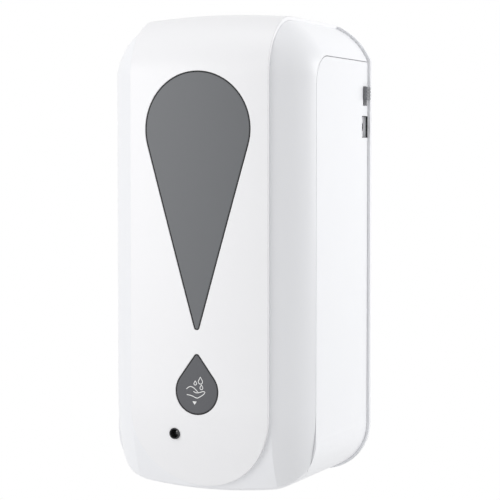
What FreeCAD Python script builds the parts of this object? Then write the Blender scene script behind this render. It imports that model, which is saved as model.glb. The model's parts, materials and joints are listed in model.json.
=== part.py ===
import FreeCAD, Part
import math
import os

os.makedirs("parts", exist_ok=True)
Vector = FreeCAD.Vector

# Frame: millimetres. The wall is the plane y = 0 and the dispenser's front faces -Y.
# +Z is up and +X is to the right of someone facing the front. The origin is the middle
# of the four wall holes, on the back of the wall plate.

# ---- outer form ----
body_half_width = 62.0        # middle to the flat side
body_depth = 110.0            # wall to the middle of the face panel
body_top = 135.0              # top of the face panel above the origin
body_bottom = -135.0          # lowest line of the casing
seam_depth = 24.0             # front to the seam, and top down to the seam
seam_corner_radius = 17.0     # upper front corner of the side wall
top_radius = 36.0             # side view: front turning into the top
curl_radius = 110.0           # side view: front curling back towards the bottom
curl_start = 50.0             # height above the bottom where the curl starts
corner_radius = 28.0          # front view: lower corners
bottom_rise = 2.0             # front view: sag of the bottom line
front_round_radius = 18.0     # underside turning into the front
front_round_setback = 4.0     # front of that rounding behind the panel's face
band_bulge = 2.5              # how far the bevelled band swells out of its chord
shell_wall = 2.4              # moulded wall of the cover and the housing

# ---- face panel and what it frames ----
panel_half_width = 42.3
panel_thickness = 2.2
panel_crown = 2.0             # the face bows forward by this much in its middle
panel_groove = 0.5            # gap between the panel's edge and the band
panel_lower_margin = 3.7      # casing below the panel's round end
drop_radius = 32.0
drop_below_top = 65.3         # top of the body down to the drop's round centre
drop_tip_distance = 115.5     # round centre to where the straight flanks would meet
drop_tip_radius = 1.5
badge_radius = 12.9
badge_above_end_centre = 12.4  # above the centre of the panel's round end
badge_tip_distance = 21.8
badge_tip_radius = 1.6
badge_mark_depth = 0.5
inlay_gap = 0.35              # round both drops
window_ledge = 4.0            # cover left behind the drop's edge
lens_hole_radius = 3.15
lens_radius = 2.5
lens_side = -14.3
lens_below_end_centre = 12.2
panel_peg_radius = 1.5
peg_from_edge = 6.0           # panel's edge to the pegs
peg_above_end = 10.0
peg_above_drop = 20.0
peg_stand_out = 1.0           # end of the pegs behind the cover
lens_flange_margin = 1.5
lens_flange_thickness = 1.0
lens_flange_gap = 0.5

# ---- clearances ----
seam_gap = 0.35               # cover to housing
moving_gap = 0.4              # between bodies that pass each other
running_gap = 0.05            # radial, shaft in hole
seat_gap = 0.3                # a loose piece above its seat
fit_gap = 0.1                 # fixed piece in its pocket

# ---- wall plate and housing ----
plate_thickness = 2.5
plate_overhang = 1.5          # plate wider than the casing
wall_hole_radius = 2.5
wall_hole_spacing_x = 80.0
wall_hole_spacing_z = 160.0
wall_screw_relief_radius = 6.5
back_wall = 2.3
back_gap = 0.2                # wall plate to the housing
plate_boss_radius = 2.6
plate_screw_x = 32.0
plate_screw_end_margin = 17.0   # screw to the lower end of the casing
plate_screw_top_margin = 20.0   # screw to the top of the body
plate_screw_head_radius = 4.5
boss_radius = 4.0
self_tapper_radius = 1.4
self_tapper_head_radius = 3.2
self_tapper_head_height = 2.0
boss_from_side = 7.6          # inner side of the housing to the outer bosses
boss_above_bottom = 25.0
boss_above_deck = 58.0
top_boss_x = 30.0
top_boss_drop = 11.0          # top bosses below the top of the side wall
tongue_margin = 7.0           # housing's tongue round the upper plate screws
tongue_root = 5.0
slab_overlap = 0.4            # back wall into the housing's skin
board_post_radius = 2.0

# ---- hinge and lock ----
hinge_pin_radius = 1.6
hinge_ear_radius = 3.2
hinge_ear_width = 4.0
hinge_x = 16.0                # inner face of the cover's ears
hinge_behind_front = 21.0
cover_ear_web = 12.0
hinge_pin_end = 0.5
ear_foot_back = 16.0
hinge_ear_room = 1.4          # from the shell's inside to the ears
ear_web_rise = 6.1            # above the axis, so that the cover's lower lip swings under it
ear_web_thickness = 3.0
ear_neck_back = 1.5           # behind the axis, in front of the lip at the end of its swing
lip_swing_gap = 0.65          # housing to the circle that the cover's lower lip swings through
lock_from_wall = 15.0
lock_barrel_radius = 5.0
lock_head_radius = 7.5
lock_barrel_length = 12.0
cam_reach = 8.6               # points to the wall unlocked, and behind the keeper locked
cam_width = 7.0
cam_thickness = 2.0
keeper_x = 5.6
keeper_width = 6.0
keeper_drop = 4.6             # floor of the keeper below the cam
keeper_floor = 3.0
lock_head_sink = 0.2
key_radius = 3.4
key_depth = 4.0

# ---- bottle ----
bottle_lift = 6.0
bottle_wall = 1.8
bottle_corner_radius = 16.0
bottle_edge_radius = 7.0
bottle_side_room = 9.6        # inner side of the housing to the bottle
bottle_front_room = 8.0       # inside of the cover's front to the bottle
neck_radius = 18.0
neck_wall = 2.0
cap_radius = 22.0
cap_height = 14.0
cap_wall = 2.0
gasket_thickness = 1.2
cap_flutes = 24
cap_flute_radius = 0.9
cap_head_room = 4.4
shoulder_below_cap = 4.0
spigot_radius = 5.0
spigot_bore = 3.0
spigot_length = 5.5

# ---- chassis ----
pump_bay_height = 101.7       # bottom of the casing up to the bottle deck
deck_thickness = 2.7
chassis_wall = 2.2
chassis_side_gap = 1.6
deck_lip_height = 8.0
nozzle_from_front = 34.0      # soap falls this far behind the face
deck_lip_side_room = 12.0
deck_rib_reach = 30.0
deck_rib_drop = 34.0
wire_hole_radius = 4.0

# ---- batteries and board ----
battery_above_deck = 43.0
cell_radius = 7.1
cell_length = 49.5
cell_count = 4
cell_spacing = 0.8            # between the sides of two cells
cell_button_radius = 2.7
cell_button_height = 1.0
spring_height = 5.0
spring_radius = 3.6             # middle of the wire
spring_wire_radius = 0.4
spring_turns = 3
box_wall = 1.2
door_thickness = 1.8
door_travel = 12.0
door_overlap = 2.0
rail_width = 3.0
board_thickness = 1.6
board_width = 21.0
board_height = 60.0
board_below_jack = 28.0
board_side_room = 2.6
board_post_margin_x = 3.0
board_post_margin_z = 4.0
cell_play = 0.4               # cells to the chassis
box_depth_play = 1.0
box_side_shift = 2.0
contact_thickness = 0.5
contact_half_width = 5.5
rail_lip_thickness = 0.8
bottle_back_room = 0.6
grip_count = 5
grip_pitch = 2.4

# ---- inlet and switch on the right side ----
jack_centre_z = 72.3
jack_recess_height = 12.8
jack_recess_width = 10.3
jack_floor = 1.6
jack_face_radius = 3.15
jack_barrel_radius = 2.85
jack_pin_radius = 1.05
jack_body_height = 11.0
jack_body_width = 8.8
jack_body_length = 13.0
switch_centre_z = 90.5
switch_slot_height = 11.4
switch_slot_width = 7.0
knob_height = 7.5
knob_stand_out = 2.5
switch_body_length = 8.0

# ---- pump ----
tube_radius = 3.5
tube_bore = 2.0
tube_bend_radius = 12.0
tube_pressed = 3.0            # thickness of the tube where it is pressed flat
tube_pressed_width = 9.4
roller_radius = 6.0
roller_count = 3
roller_length = 9.6
roller_pin_radius = 1.5
orbit_radius = 12.7
disc_thickness = 2.0
disc_margin = 1.2
track_wall = 3.0
pump_back_wall = 2.0
press_run = 9.0               # pressed flat this far past each end of the track
roller_tube_gap = 0.3
lid_ear_radius = 3.4
lid_ear_turns = (115, 180, 245)
standoff_radius = 2.5
lid_thickness = 2.0
rotor_shaft_radius = 3.0
socket_depth = 9.5
gear_module = 0.8
gear_width = 4.0
gear_gap = 1.0
rotor_gear_teeth = 40
idler_small_teeth = 12
idler_large_teeth = 40
pinion_teeth = 10
idler_direction = -20.0       # degrees, seen from the front, from the rotor's axis
motor_direction = 35.0        # degrees, from the idler's axis
mesh_play = 0.1
motor_radius = 12.0
motor_length = 24.0
motor_plate_thickness = 2.0
motor_shaft_radius = 1.0
axle_radius = 1.5

# ---- nozzle and sensor ----
nozzle_radius = 4.9
nozzle_tip_radius = 4.0
nozzle_recess = 0.4           # tip above the lowest line
sensor_behind_nozzle = 24.0
sensor_window_length = 24.0
sensor_window_width = 10.0
led_radius = 2.5
led_length = 6.0
led_room = 2.0                # tip of the lamp to the cover
led_post_rise = 6.0
led_post_spread = 5.0
led_post_radius = 1.8
lens_sink = 0.4
sensor_board_rise = 9.8
sensor_board_half_x = 13.0
sensor_board_half_y = 7.0
sensor_eye_x = 6.0
sensor_post_x = 11.0
sensor_post_back = 4.5
sensor_post_radius = 1.5
sensor_post_root = 1.5


# ======================= derived places =======================
front_y = -body_depth
inner_half_width = body_half_width - shell_wall
housing_back_y = -plate_thickness - back_gap
housing_inner_y = housing_back_y - back_wall
side_top_z = body_top - seam_depth
panel_end_z = body_bottom + panel_lower_margin + panel_half_width
drop_z = body_top - drop_below_top
badge_z = panel_end_z + badge_above_end_centre
lens_z = panel_end_z - lens_below_end_centre
hinge_above_bottom = shell_wall + hinge_ear_room + hinge_ear_radius
hinge_y = front_y + hinge_behind_front
hinge_z = body_bottom + hinge_above_bottom
knuckle_reach = math.hypot(seam_depth - hinge_behind_front, hinge_above_bottom) + running_gap
cover_inner_front_y = front_y + panel_thickness + shell_wall + panel_crown
cover_inner_top = body_top - panel_thickness - shell_wall - panel_crown
deck_top = body_bottom + pump_bay_height
deck_bottom = deck_top - deck_thickness
nozzle_y = front_y + nozzle_from_front

cell_pitch = 2 * cell_radius + cell_spacing
box_depth = 2 * cell_radius + box_wall + box_depth_play
box_back_y = housing_inner_y - seat_gap
chassis_back_y = box_back_y - box_depth
chassis_front_y = chassis_back_y - chassis_wall
door_back_y = chassis_front_y - seat_gap
door_front_y = door_back_y - door_thickness
rail_front_y = door_front_y - seat_gap - rail_lip_thickness
bottle_back_y = rail_front_y - bottle_back_room
bottle_front_y = cover_inner_front_y + bottle_front_room
bottle_half_width = inner_half_width - bottle_side_room
bottle_bottom = deck_top + seat_gap
cap_top = cover_inner_top - bottle_lift - cap_head_room
neck_top = cap_top - cap_wall - gasket_thickness - seat_gap
bottle_shoulder = cap_top - cap_height - shoulder_below_cap
bottle_mid_y = (bottle_front_y + bottle_back_y) / 2
chassis_half_width = inner_half_width - chassis_side_gap

lock_head_under = body_top - panel_thickness + fit_gap
track_radius = orbit_radius + roller_radius + roller_tube_gap + tube_pressed / 2
pump_x = -(press_run + tube_bend_radius)
pump_z = deck_bottom - socket_depth - tube_bend_radius - track_radius
tube_top_z = pump_z + track_radius + tube_bend_radius
tube_low_z = pump_z - track_radius - tube_bend_radius
rotor_front_y = nozzle_y - roller_length / 2 - moving_gap - disc_thickness
rotor_back_y = nozzle_y + roller_length / 2 + moving_gap + disc_thickness
disc_radius = orbit_radius + roller_radius - disc_margin
pump_back_front_y = rotor_back_y + moving_gap
pump_back_y = pump_back_front_y + pump_back_wall
pump_front_y = rotor_front_y - moving_gap
gear_a_y = pump_back_y + gear_gap
gear_b_y = gear_a_y + gear_width + gear_gap
motor_plate_y = gear_b_y + gear_width + gear_gap
motor_front_y = motor_plate_y + motor_plate_thickness
idler_distance = gear_module * (rotor_gear_teeth + idler_small_teeth) / 2 + mesh_play
idler_x = pump_x + idler_distance * math.cos(math.radians(idler_direction))
idler_z = pump_z + idler_distance * math.sin(math.radians(idler_direction))
motor_distance = gear_module * (idler_large_teeth + pinion_teeth) / 2 + mesh_play
motor_x = idler_x + motor_distance * math.cos(math.radians(motor_direction))
motor_z = idler_z + motor_distance * math.sin(math.radians(motor_direction))
sensor_y = nozzle_y + sensor_behind_nozzle
jack_mid_y = housing_back_y - back_gap - jack_body_width / 2
board_back_y = jack_mid_y - jack_body_width / 2 - fit_gap
board_front_y = board_back_y - board_thickness
board_left_x = inner_half_width - board_side_room - board_width
box_left_x = -cell_count * cell_pitch / 2 - box_wall - box_side_shift
box_right_x = box_left_x + cell_count * cell_pitch + 2 * box_wall
box_bottom_z = deck_top + battery_above_deck
box_top_z = box_bottom_z + cell_length + cell_button_height + spring_height + 2 * (box_wall + contact_thickness)
curl_depth = (body_bottom + curl_start - lens_z) ** 2 / (2 * curl_radius)
lens_front_y = front_y + panel_thickness + curl_depth + lens_sink
led_board_back_y = cover_inner_front_y + curl_depth + led_room + led_length + board_thickness
led_post_z = lens_z + led_post_rise
led_post_x = (lens_side - led_post_spread, lens_side + led_post_spread)


# ======================= small helpers =======================
def box(x0, x1, y0, y1, z0, z1):
    return Part.makeBox(x1 - x0, y1 - y0, z1 - z0, Vector(x0, y0, z0))


def rod(radius, start, direction, length):
    return Part.makeCylinder(radius, length, Vector(*start), Vector(*direction))


def ring(outer, inner, start, direction, length):
    return rod(outer, start, direction, length).cut(rod(inner, start, direction, length))


def joined(shapes):
    return shapes[0].fuse(list(shapes[1:])).removeSplitter()


def line(a, b):
    return Part.LineSegment(Vector(*a), Vector(*b)).toShape()


def arc(a, middle, b):
    return Part.Arc(Vector(*a), Vector(*middle), Vector(*b)).toShape()


def flat(edges):
    return Part.Face(Part.Wire(edges))


def polygon(points):
    return Part.Face(Part.makePolygon([Vector(*p) for p in points] + [Vector(*points[0])]))


def mirrored(point):
    return (-point[0],) + tuple(point[1:])


def rounded_box(x0, x1, y0, y1, z0, z1, upright, around):
    """A box with its upright edges rounded first and then its top and bottom edges."""
    block = box(x0, x1, y0, y1, z0, z1)
    block = block.makeFillet(upright, [e for e in block.Edges if abs(e.BoundBox.ZLength) > 1e-6])
    level = [e for e in block.Edges if e.BoundBox.ZLength < 1e-3]
    return block.makeFillet(around, level)


def save(name, shape):
    if shape.ShapeType == "Compound" and len(shape.Solids) == 1:
        shape = shape.Solids[0]
    print(name, len(shape.Solids), "solids", round(shape.Volume), shape.isValid())
    shape.exportStep("parts/" + name + ".step")


def screw(head_at, direction, length, head_radius, head_height, shank_radius):
    """Pan head behind head_at, shank along direction, crossed slots in the head."""
    way = Vector(*direction)
    seat = Vector(*head_at)
    head = Part.makeCylinder(head_radius, head_height, seat - way * head_height, way)
    shank = Part.makeCylinder(shank_radius, length, seat, way)
    piece = head.fuse(shank).removeSplitter()
    slot = Part.makeBox(head_radius * 1.2, head_radius * 0.3, head_height * 0.5)
    slot.translate(Vector(-head_radius * 0.6, -head_radius * 0.15, 0))
    for turn in (0, 90):
        bit = slot.copy()
        bit.rotate(Vector(0, 0, 0), Vector(0, 0, 1), turn)
        bit.Placement = FreeCAD.Placement(seat - way * head_height,
                                          FreeCAD.Rotation(Vector(0, 0, 1), way)).multiply(bit.Placement)
        piece = piece.cut(bit)
    return piece


# ======================= outer form =======================
def crown_sag(x):
    """How far the bowed face falls back at a distance x from its middle."""
    edge = panel_half_width + panel_groove
    bow_radius = (edge ** 2 + panel_crown ** 2) / (2 * panel_crown)
    return bow_radius - math.sqrt(bow_radius ** 2 - x ** 2)


def cross_section(inset):
    """Level section of the casing: bowed front, swollen bands and straight sides."""
    edge = panel_half_width + panel_groove - 0.35 * inset
    near = (edge, front_y + crown_sag(edge) + panel_thickness + inset, 0)
    far = (body_half_width - inset, front_y + seam_depth + 0.45 * inset, 0)
    chord = Vector(far[0] - near[0], far[1] - near[1], 0)
    out = Vector(chord.y, -chord.x, 0).normalize() * band_bulge
    swell = ((near[0] + far[0]) / 2 + out.x, (near[1] + far[1]) / 2 + out.y, 0)
    crown = (0, front_y + panel_thickness + inset, 0)
    back = (body_half_width - inset, front_y + top_radius, 0)
    return flat([
        arc(mirrored(near), crown, near), arc(near, swell, far), line(far, back),
        line(back, mirrored(back)), line(mirrored(back), mirrored(far)),
        arc(mirrored(far), mirrored(swell), mirrored(near))])


def along_profile(section, top_end_y):
    """Carries a level section up the front, over the top, and down the curl."""
    turn_z = body_top - top_radius
    curl_z = body_bottom + curl_start
    upper = section.copy()
    upper.translate(Vector(0, 0, turn_z))
    lower = section.copy()
    lower.translate(Vector(0, 0, curl_z))
    pivot = Vector(0, front_y + top_radius, turn_z)
    over = upper.revolve(pivot, Vector(1, 0, 0), -90)
    front = lower.extrude(Vector(0, 0, turn_z - curl_z))
    curl = lower.revolve(Vector(0, front_y + curl_radius, curl_z), Vector(1, 0, 0), 35)
    lid = upper.copy()
    lid.rotate(pivot, Vector(1, 0, 0), -90)
    top = lid.extrude(Vector(0, top_end_y - pivot.y, 0))
    return [over, front, curl, top]


def outline_prism(inset, front, back, fillet_front):
    """Front view of the casing carried from front to back, round at its lower corners."""
    half = body_half_width - inset
    low = body_bottom + inset
    round_r = corner_radius - inset
    flat_half = half - round_r
    sweep_r = flat_half ** 2 / (2 * bottom_rise)
    corner_z = low + sweep_r - math.sqrt((sweep_r - round_r) ** 2 - flat_half ** 2)
    lean = math.atan2(low + sweep_r - corner_z, -flat_half)
    join = (sweep_r * -math.cos(lean), front, low + sweep_r - sweep_r * math.sin(lean))
    half_turn = math.atan2(join[2] - corner_z, join[0] - flat_half) / 2
    elbow = (flat_half + round_r * math.cos(half_turn), front, corner_z + round_r * math.sin(half_turn))
    side = (half, front, corner_z)
    high = body_top + 40
    face = flat([
        line((half, front, high), side), arc(side, elbow, join), arc(join, (0, front, low), mirrored(join)),
        arc(mirrored(join), mirrored(elbow), mirrored(side)), line(mirrored(side), (-half, front, high)),
        line((-half, front, high), (half, front, high))])
    prism = face.extrude(Vector(0, back - front, 0))
    if fillet_front:
        rim = [e for e in prism.Edges
               if e.BoundBox.YMax < front + 1e-3 and e.CenterOfMass.z < body_top + 30]
        prism = prism.makeFillet(fillet_front, rim)
    return prism


def casing_form(inset, back):
    """The whole casing as one solid, its skin moved inwards by inset."""
    turn_z = body_top - top_radius
    curl_z = body_bottom + curl_start
    half = body_half_width - inset
    parts = along_profile(cross_section(inset), back)
    parts.append(box(-half, half, front_y + top_radius, back, curl_z, turn_z))
    parts.append(box(-half, half, front_y + seam_depth, back, body_bottom - 20, curl_z))
    block = joined(parts)
    front = front_y + front_round_setback + inset
    return block.common(outline_prism(inset, front, back, front_round_radius - inset)).removeSplitter()


def cover_region(grow):
    """Side view of the space that the hinged cover takes, grown by grow all round."""
    y = front_y + seam_depth + grow
    z = side_top_z - grow
    r = seam_corner_radius - grow
    wide = body_half_width + 20
    bow = r * (1 - math.sqrt(0.5))
    far = 20
    side = flat([
        line((-wide, front_y - far, body_bottom - far), (-wide, y, body_bottom - far)),
        line((-wide, y, body_bottom - far), (-wide, y, z - r)),
        arc((-wide, y, z - r), (-wide, y + bow, z - bow), (-wide, y + r, z)),
        line((-wide, y + r, z), (-wide, far, z)),
        line((-wide, far, z), (-wide, far, body_top + far)),
        line((-wide, far, body_top + far), (-wide, front_y - far, body_top + far)),
        line((-wide, front_y - far, body_top + far), (-wide, front_y - far, body_bottom - far))])
    slab = side.extrude(Vector(2 * wide, 0, 0))
    knuckle = rod(knuckle_reach + grow, (-wide, hinge_y, hinge_z), (1, 0, 0), 2 * wide)
    return slab.fuse(knuckle)


def teardrop(centre_z, radius, tip_distance, tip_radius, tip_up, grow, front, back):
    """Upright prism along Y of a round drop whose straight flanks run to a small round tip."""
    way = 1 if tip_up else -1
    lean = math.asin(radius / tip_distance)
    big = radius + grow
    small = max(tip_radius + grow, min(tip_radius, 1.0))
    tip_z = centre_z + way * (big - small) / math.sin(lean)
    side_x = math.cos(lean)
    side_z = way * math.sin(lean)
    flank = (big * side_x, front, centre_z + big * side_z)
    point = (small * side_x, front, tip_z + small * side_z)
    face = flat([
        arc(mirrored(flank), (0, front, centre_z - way * big), flank), line(flank, point),
        arc(point, (0, front, tip_z + way * small), mirrored(point)),
        line(mirrored(point), mirrored(flank))])
    return face.extrude(Vector(0, back - front, 0))


def big_drop(grow, front, back):
    return teardrop(drop_z, drop_radius, drop_tip_distance, drop_tip_radius, False, grow, front, back)


def small_drop(grow, front, back):
    return teardrop(badge_z, badge_radius, badge_tip_distance, badge_tip_radius, True, grow, front, back)


outer_form = casing_form(0, housing_back_y)
inner_form = casing_form(shell_wall, 10.0)
skin = outer_form.cut(inner_form)
cover_back_y = housing_back_y - seam_gap
peg_places = [(side * (panel_half_width - peg_from_edge), z) for side in (-1, 1)
              for z in (panel_end_z + peg_above_end, 0, drop_z + peg_above_drop)]


# ======================= cover =======================
def make_front_cover():
    cover = skin.common(cover_region(0))
    cover = cover.cut(box(-100, 100, cover_back_y, 10, -200, 200))
    ear_x = [hinge_x, -hinge_x - hinge_ear_width]
    inside = casing_form(0.6, 10.0)
    for x in ear_x:
        ear = rod(hinge_ear_radius, (x, hinge_y, hinge_z), (1, 0, 0), hinge_ear_width)
        web = box(x, x + hinge_ear_width, hinge_y - cover_ear_web, hinge_y, body_bottom, hinge_z + hinge_ear_radius)
        cover = cover.fuse(ear.fuse(web).common(inside))
    reach = hinge_x + hinge_ear_width + 1
    cover = cover.cut(rod(hinge_pin_radius + running_gap, (-reach, hinge_y, hinge_z), (1, 0, 0), 2 * reach))
    cover = cover.cut(big_drop(-window_ledge, front_y - 5, cover_inner_front_y + 5))
    lens_way = rod(lens_radius + fit_gap, (lens_side, front_y - 5, lens_z), (0, 1, 0), 30)
    cover = cover.cut(lens_way)
    for x, z in peg_places:
        cover = cover.cut(rod(panel_peg_radius + fit_gap, (x, front_y - 5, z), (0, 1, 0), 30))
    lock = rod(lock_barrel_radius + running_gap, (0, -lock_from_wall, 100), (0, 0, 1), 60)
    return cover.cut(lock).removeSplitter()


def panel_strip(thickness):
    """The bowed strip up the front and over the top, round at its lower end."""
    half = panel_half_width
    face_edge = (half, front_y + crown_sag(half), 0)
    back_edge = (half, front_y + crown_sag(half) + thickness, 0)
    section = flat([
        arc(mirrored(face_edge), (0, front_y, 0), face_edge), line(face_edge, back_edge),
        arc(back_edge, (0, front_y + thickness, 0), mirrored(back_edge)),
        line(mirrored(back_edge), mirrored(face_edge))])
    strip = joined(along_profile(section, cover_back_y))
    stadium = rod(half, (0, front_y - 5, panel_end_z), (0, 1, 0), body_depth)
    stadium = stadium.fuse(box(-half - 1, half + 1, front_y - 5, 5, panel_end_z, body_top + 5))
    return strip.common(stadium).removeSplitter()


strip_solid = panel_strip(panel_thickness - running_gap)
drop_back_y = front_y + top_radius


def make_face_panel():
    panel = strip_solid
    panel = panel.cut(big_drop(inlay_gap, front_y - 5, drop_back_y))
    panel = panel.cut(small_drop(inlay_gap, front_y - 5, drop_back_y))
    panel = panel.cut(rod(lens_hole_radius, (lens_side, front_y - 5, lens_z), (0, 1, 0), 30))
    panel = panel.cut(rod(lock_head_radius + seam_gap, (0, -lock_from_wall, body_top - 10), (0, 0, 1), 20))
    peg_end = cover_inner_front_y + peg_stand_out
    peg_start = front_y + panel_crown + 1.0
    for x, z in peg_places:
        peg = rod(panel_peg_radius, (x, peg_start, z), (0, 1, 0), peg_end - peg_start)
        panel = panel.fuse(peg)
    return panel.removeSplitter()


def make_drop_window():
    return strip_solid.common(big_drop(0, front_y - 5, drop_back_y))


def mark_prisms(front, back):
    """The badge's sign: an open hand under three drops, and a small arrow to the outlet below."""
    def slab(points):
        return polygon([(x, front, badge_z + z) for x, z in points]).extrude(Vector(0, back - front, 0))

    def bead(x, z, radius):
        return teardrop(badge_z + z, radius, radius * 2.2, 0.2, True, 0, front, back)\
            .translated(Vector(x, 0, 0))

    palm = slab([(-6.6, -0.4), (-3.6, -0.8), (-0.5, -2.4), (0.9, -2.4), (5.4, 0.9), (4.7, 2.0), (1.0, 1.2),
                 (-1.0, 3.2), (-3.2, 4.3), (-4.9, 4.1), (-6.6, 2.9)])
    arrow = slab([(-2.6, -4.1), (-1.3, -6.0), (0.0, -4.1)])
    beads = [bead(2.3, 7.2, 1.4), bead(-1.0, 6.1, 1.0), bead(3.4, 3.3, 0.9)]
    return [palm, arrow] + beads


def make_badge():
    badge = strip_solid.common(small_drop(0, front_y - 5, drop_back_y))
    mark_back = front_y + panel_crown + panel_thickness
    mark = Part.makeCompound(mark_prisms(front_y - 5, mark_back)).common(badge)
    sunk = strip_solid.translated(Vector(0, badge_mark_depth, 0))
    mark = mark.cut(sunk)
    return badge.cut(mark), mark


def make_status_lens():
    flange_y = cover_inner_front_y + lens_flange_gap
    stem = rod(lens_radius, (lens_side, lens_front_y, lens_z), (0, 1, 0), flange_y - lens_front_y + 0.2)
    return joined([stem, rod(lens_radius + lens_flange_margin, (lens_side, flange_y, lens_z), (0, 1, 0),
                             lens_flange_thickness)])


def make_lock():
    top = body_top - lock_head_sink
    under = lock_head_under
    head = rod(lock_head_radius, (0, -lock_from_wall, under), (0, 0, 1), top - under)
    barrel = rod(lock_barrel_radius, (0, -lock_from_wall, under - lock_barrel_length), (0, 0, 1),
                 lock_barrel_length)
    key = polygon([(key_radius * math.cos(math.radians(a)), key_radius * math.sin(math.radians(a)) - lock_from_wall,
                    under - key_depth) for a in (90, 210, 330)]).extrude(Vector(0, 0, 20))
    barrel = head.fuse(barrel).cut(key)
    cam_z = under - lock_barrel_length - cam_thickness
    hole = rod(self_tapper_radius, (0, -lock_from_wall, cam_z - 1), (0, 0, 1), cam_thickness + 5)
    cam = box(-cam_width / 2, cam_width / 2, -lock_from_wall, cam_reach - lock_from_wall, cam_z,
              cam_z + cam_thickness)
    cam = cam.fuse(rod(lock_barrel_radius - 0.5, (0, -lock_from_wall, cam_z), (0, 0, 1), cam_thickness))
    fixing = screw((0, -lock_from_wall, cam_z), (0, 0, 1), cam_thickness + 4, self_tapper_head_radius,
                   self_tapper_head_height, self_tapper_radius)
    return barrel.cut(hole).removeSplitter(), cam.cut(hole).removeSplitter(), fixing


# ======================= wall plate and housing =======================
wall_holes = [(sx * wall_hole_spacing_x / 2, sz * wall_hole_spacing_z / 2)
              for sx in (-1, 1) for sz in (-1, 1)]
plate_screw_places = [(side * plate_screw_x, z) for side in (-1, 1)
                      for z in (body_top - plate_screw_top_margin, body_bottom + plate_screw_end_margin)]
boss_x = inner_half_width - boss_from_side
boss_heights = ((boss_x, body_bottom + boss_above_bottom), (boss_x, deck_top + boss_above_deck),
                (top_boss_x, side_top_z - top_boss_drop))
boss_places = [(side * x, z) for x, z in boss_heights for side in (-1, 1)]
board_bottom_z = jack_centre_z - board_below_jack
board_posts = [(board_left_x + board_post_margin_x, board_bottom_z + board_post_margin_z),
               (board_left_x + board_width - board_post_margin_x,
                board_bottom_z + board_height - board_post_margin_z)]
sensor_board_z = body_bottom + sensor_board_rise


def make_wall_plate():
    plate = casing_form(-plate_overhang, 0).common(box(-100, 100, -plate_thickness, 5, -200, 200))
    for x, z in wall_holes:
        plate = plate.cut(rod(wall_hole_radius, (x, -plate_thickness - 1, z), (0, 1, 0), plate_thickness + 5))
    for x, z in plate_screw_places:
        plate = plate.fuse(rod(plate_boss_radius, (x, housing_inner_y, z), (0, 1, 0), -housing_inner_y - 1))
        plate = plate.cut(rod(self_tapper_radius, (x, housing_inner_y - 1, z), (0, 1, 0), 5))
    return plate.removeSplitter()


def make_rear_housing():
    space = box(-100, 100, front_y - 5, housing_back_y, -200, 200).cut(cover_region(seam_gap))
    space = space.cut(rod(knuckle_reach + lip_swing_gap, (-100, hinge_y, hinge_z), (1, 0, 0), 200))
    housing = skin.common(space)
    slab = casing_form(shell_wall - slab_overlap, 10.0)
    slab = slab.common(box(-100, 100, housing_inner_y, housing_back_y, -200, side_top_z - seam_gap))
    tongue_x = plate_screw_x + tongue_margin
    tongue = box(-tongue_x, tongue_x, housing_inner_y, housing_back_y, side_top_z - tongue_root,
                 body_top - plate_screw_top_margin + tongue_margin)
    housing = housing.fuse([slab, tongue]).removeSplitter()
    rear = housing_inner_y - 1
    through = back_wall + 3
    for x, z in wall_holes:
        housing = housing.cut(rod(wall_screw_relief_radius, (x, rear, z), (0, 1, 0), through))
    for x, z in plate_screw_places:
        housing = housing.cut(rod(plate_boss_radius + fit_gap, (x, rear, z), (0, 1, 0), through))
    boss_length = housing_inner_y - chassis_back_y
    for x, z in boss_places:
        housing = housing.fuse(rod(boss_radius, (x, chassis_back_y, z), (0, 1, 0), boss_length + 1))
        housing = housing.cut(rod(self_tapper_radius, (x, chassis_back_y - 1, z), (0, 1, 0), 9))
    for x, z in board_posts:
        housing = housing.fuse(rod(board_post_radius, (x, board_back_y, z), (0, 1, 0),
                                   housing_inner_y - board_back_y + 1))
    for side in (-1, 1):
        root_z = body_bottom + sensor_post_root
        post = rod(sensor_post_radius, (side * sensor_post_x, sensor_y + sensor_post_back, root_z), (0, 0, 1),
                   sensor_board_z - root_z)
        housing = housing.fuse(post)
    housing = housing.fuse(housing_ears()).fuse(keeper())
    housing = side_features(housing)
    housing = housing.cut(rod(nozzle_radius + moving_gap, (0, nozzle_y, -200), (0, 0, 1), 80))
    housing = housing.cut(sensor_slot(fit_gap))
    return housing.removeSplitter()


def housing_ears():
    outer_x = hinge_x + hinge_ear_width + moving_gap
    ears = []
    for x in (outer_x, -outer_x - hinge_ear_width):
        ear = rod(hinge_ear_radius, (x, hinge_y, hinge_z), (1, 0, 0), hinge_ear_width)
        web_low = hinge_z + ear_web_rise
        web_high = web_low + ear_web_thickness
        neck_front = hinge_y - hinge_ear_radius
        web = box(x, x + hinge_ear_width, neck_front, hinge_y + ear_foot_back, web_low, web_high)
        neck = box(x, x + hinge_ear_width, neck_front, hinge_y + ear_neck_back, hinge_z, web_high)
        foot = box(x, x + hinge_ear_width, hinge_y + knuckle_reach + 1, hinge_y + ear_foot_back,
                   body_bottom, web_high)
        ear = joined([ear, neck, web, foot]).common(casing_form(1.0, 10.0))
        ears.append(ear.cut(rod(hinge_pin_radius, (x - 1, hinge_y, hinge_z), (1, 0, 0), 12)))
    return ears


def make_hinge_pins():
    start = hinge_x - hinge_pin_end
    length = 2 * (hinge_ear_width + hinge_pin_end) + moving_gap
    pins = [rod(hinge_pin_radius, (start, hinge_y, hinge_z), (1, 0, 0), length),
            rod(hinge_pin_radius, (-start - length, hinge_y, hinge_z), (1, 0, 0), length)]
    return Part.makeCompound(pins)


def keeper():
    cam_low = lock_head_under - lock_barrel_length - cam_thickness
    post_back = -lock_from_wall - cam_width / 2 - moving_gap
    front = post_back - keeper_drop
    low = cam_low - keeper_drop
    floor = box(keeper_x, keeper_x + keeper_width, front, housing_inner_y + 1, low, low + keeper_floor)
    post = box(keeper_x, keeper_x + keeper_width, front, post_back, low, cam_low + cam_thickness + 2)
    return joined([floor, post])


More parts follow.
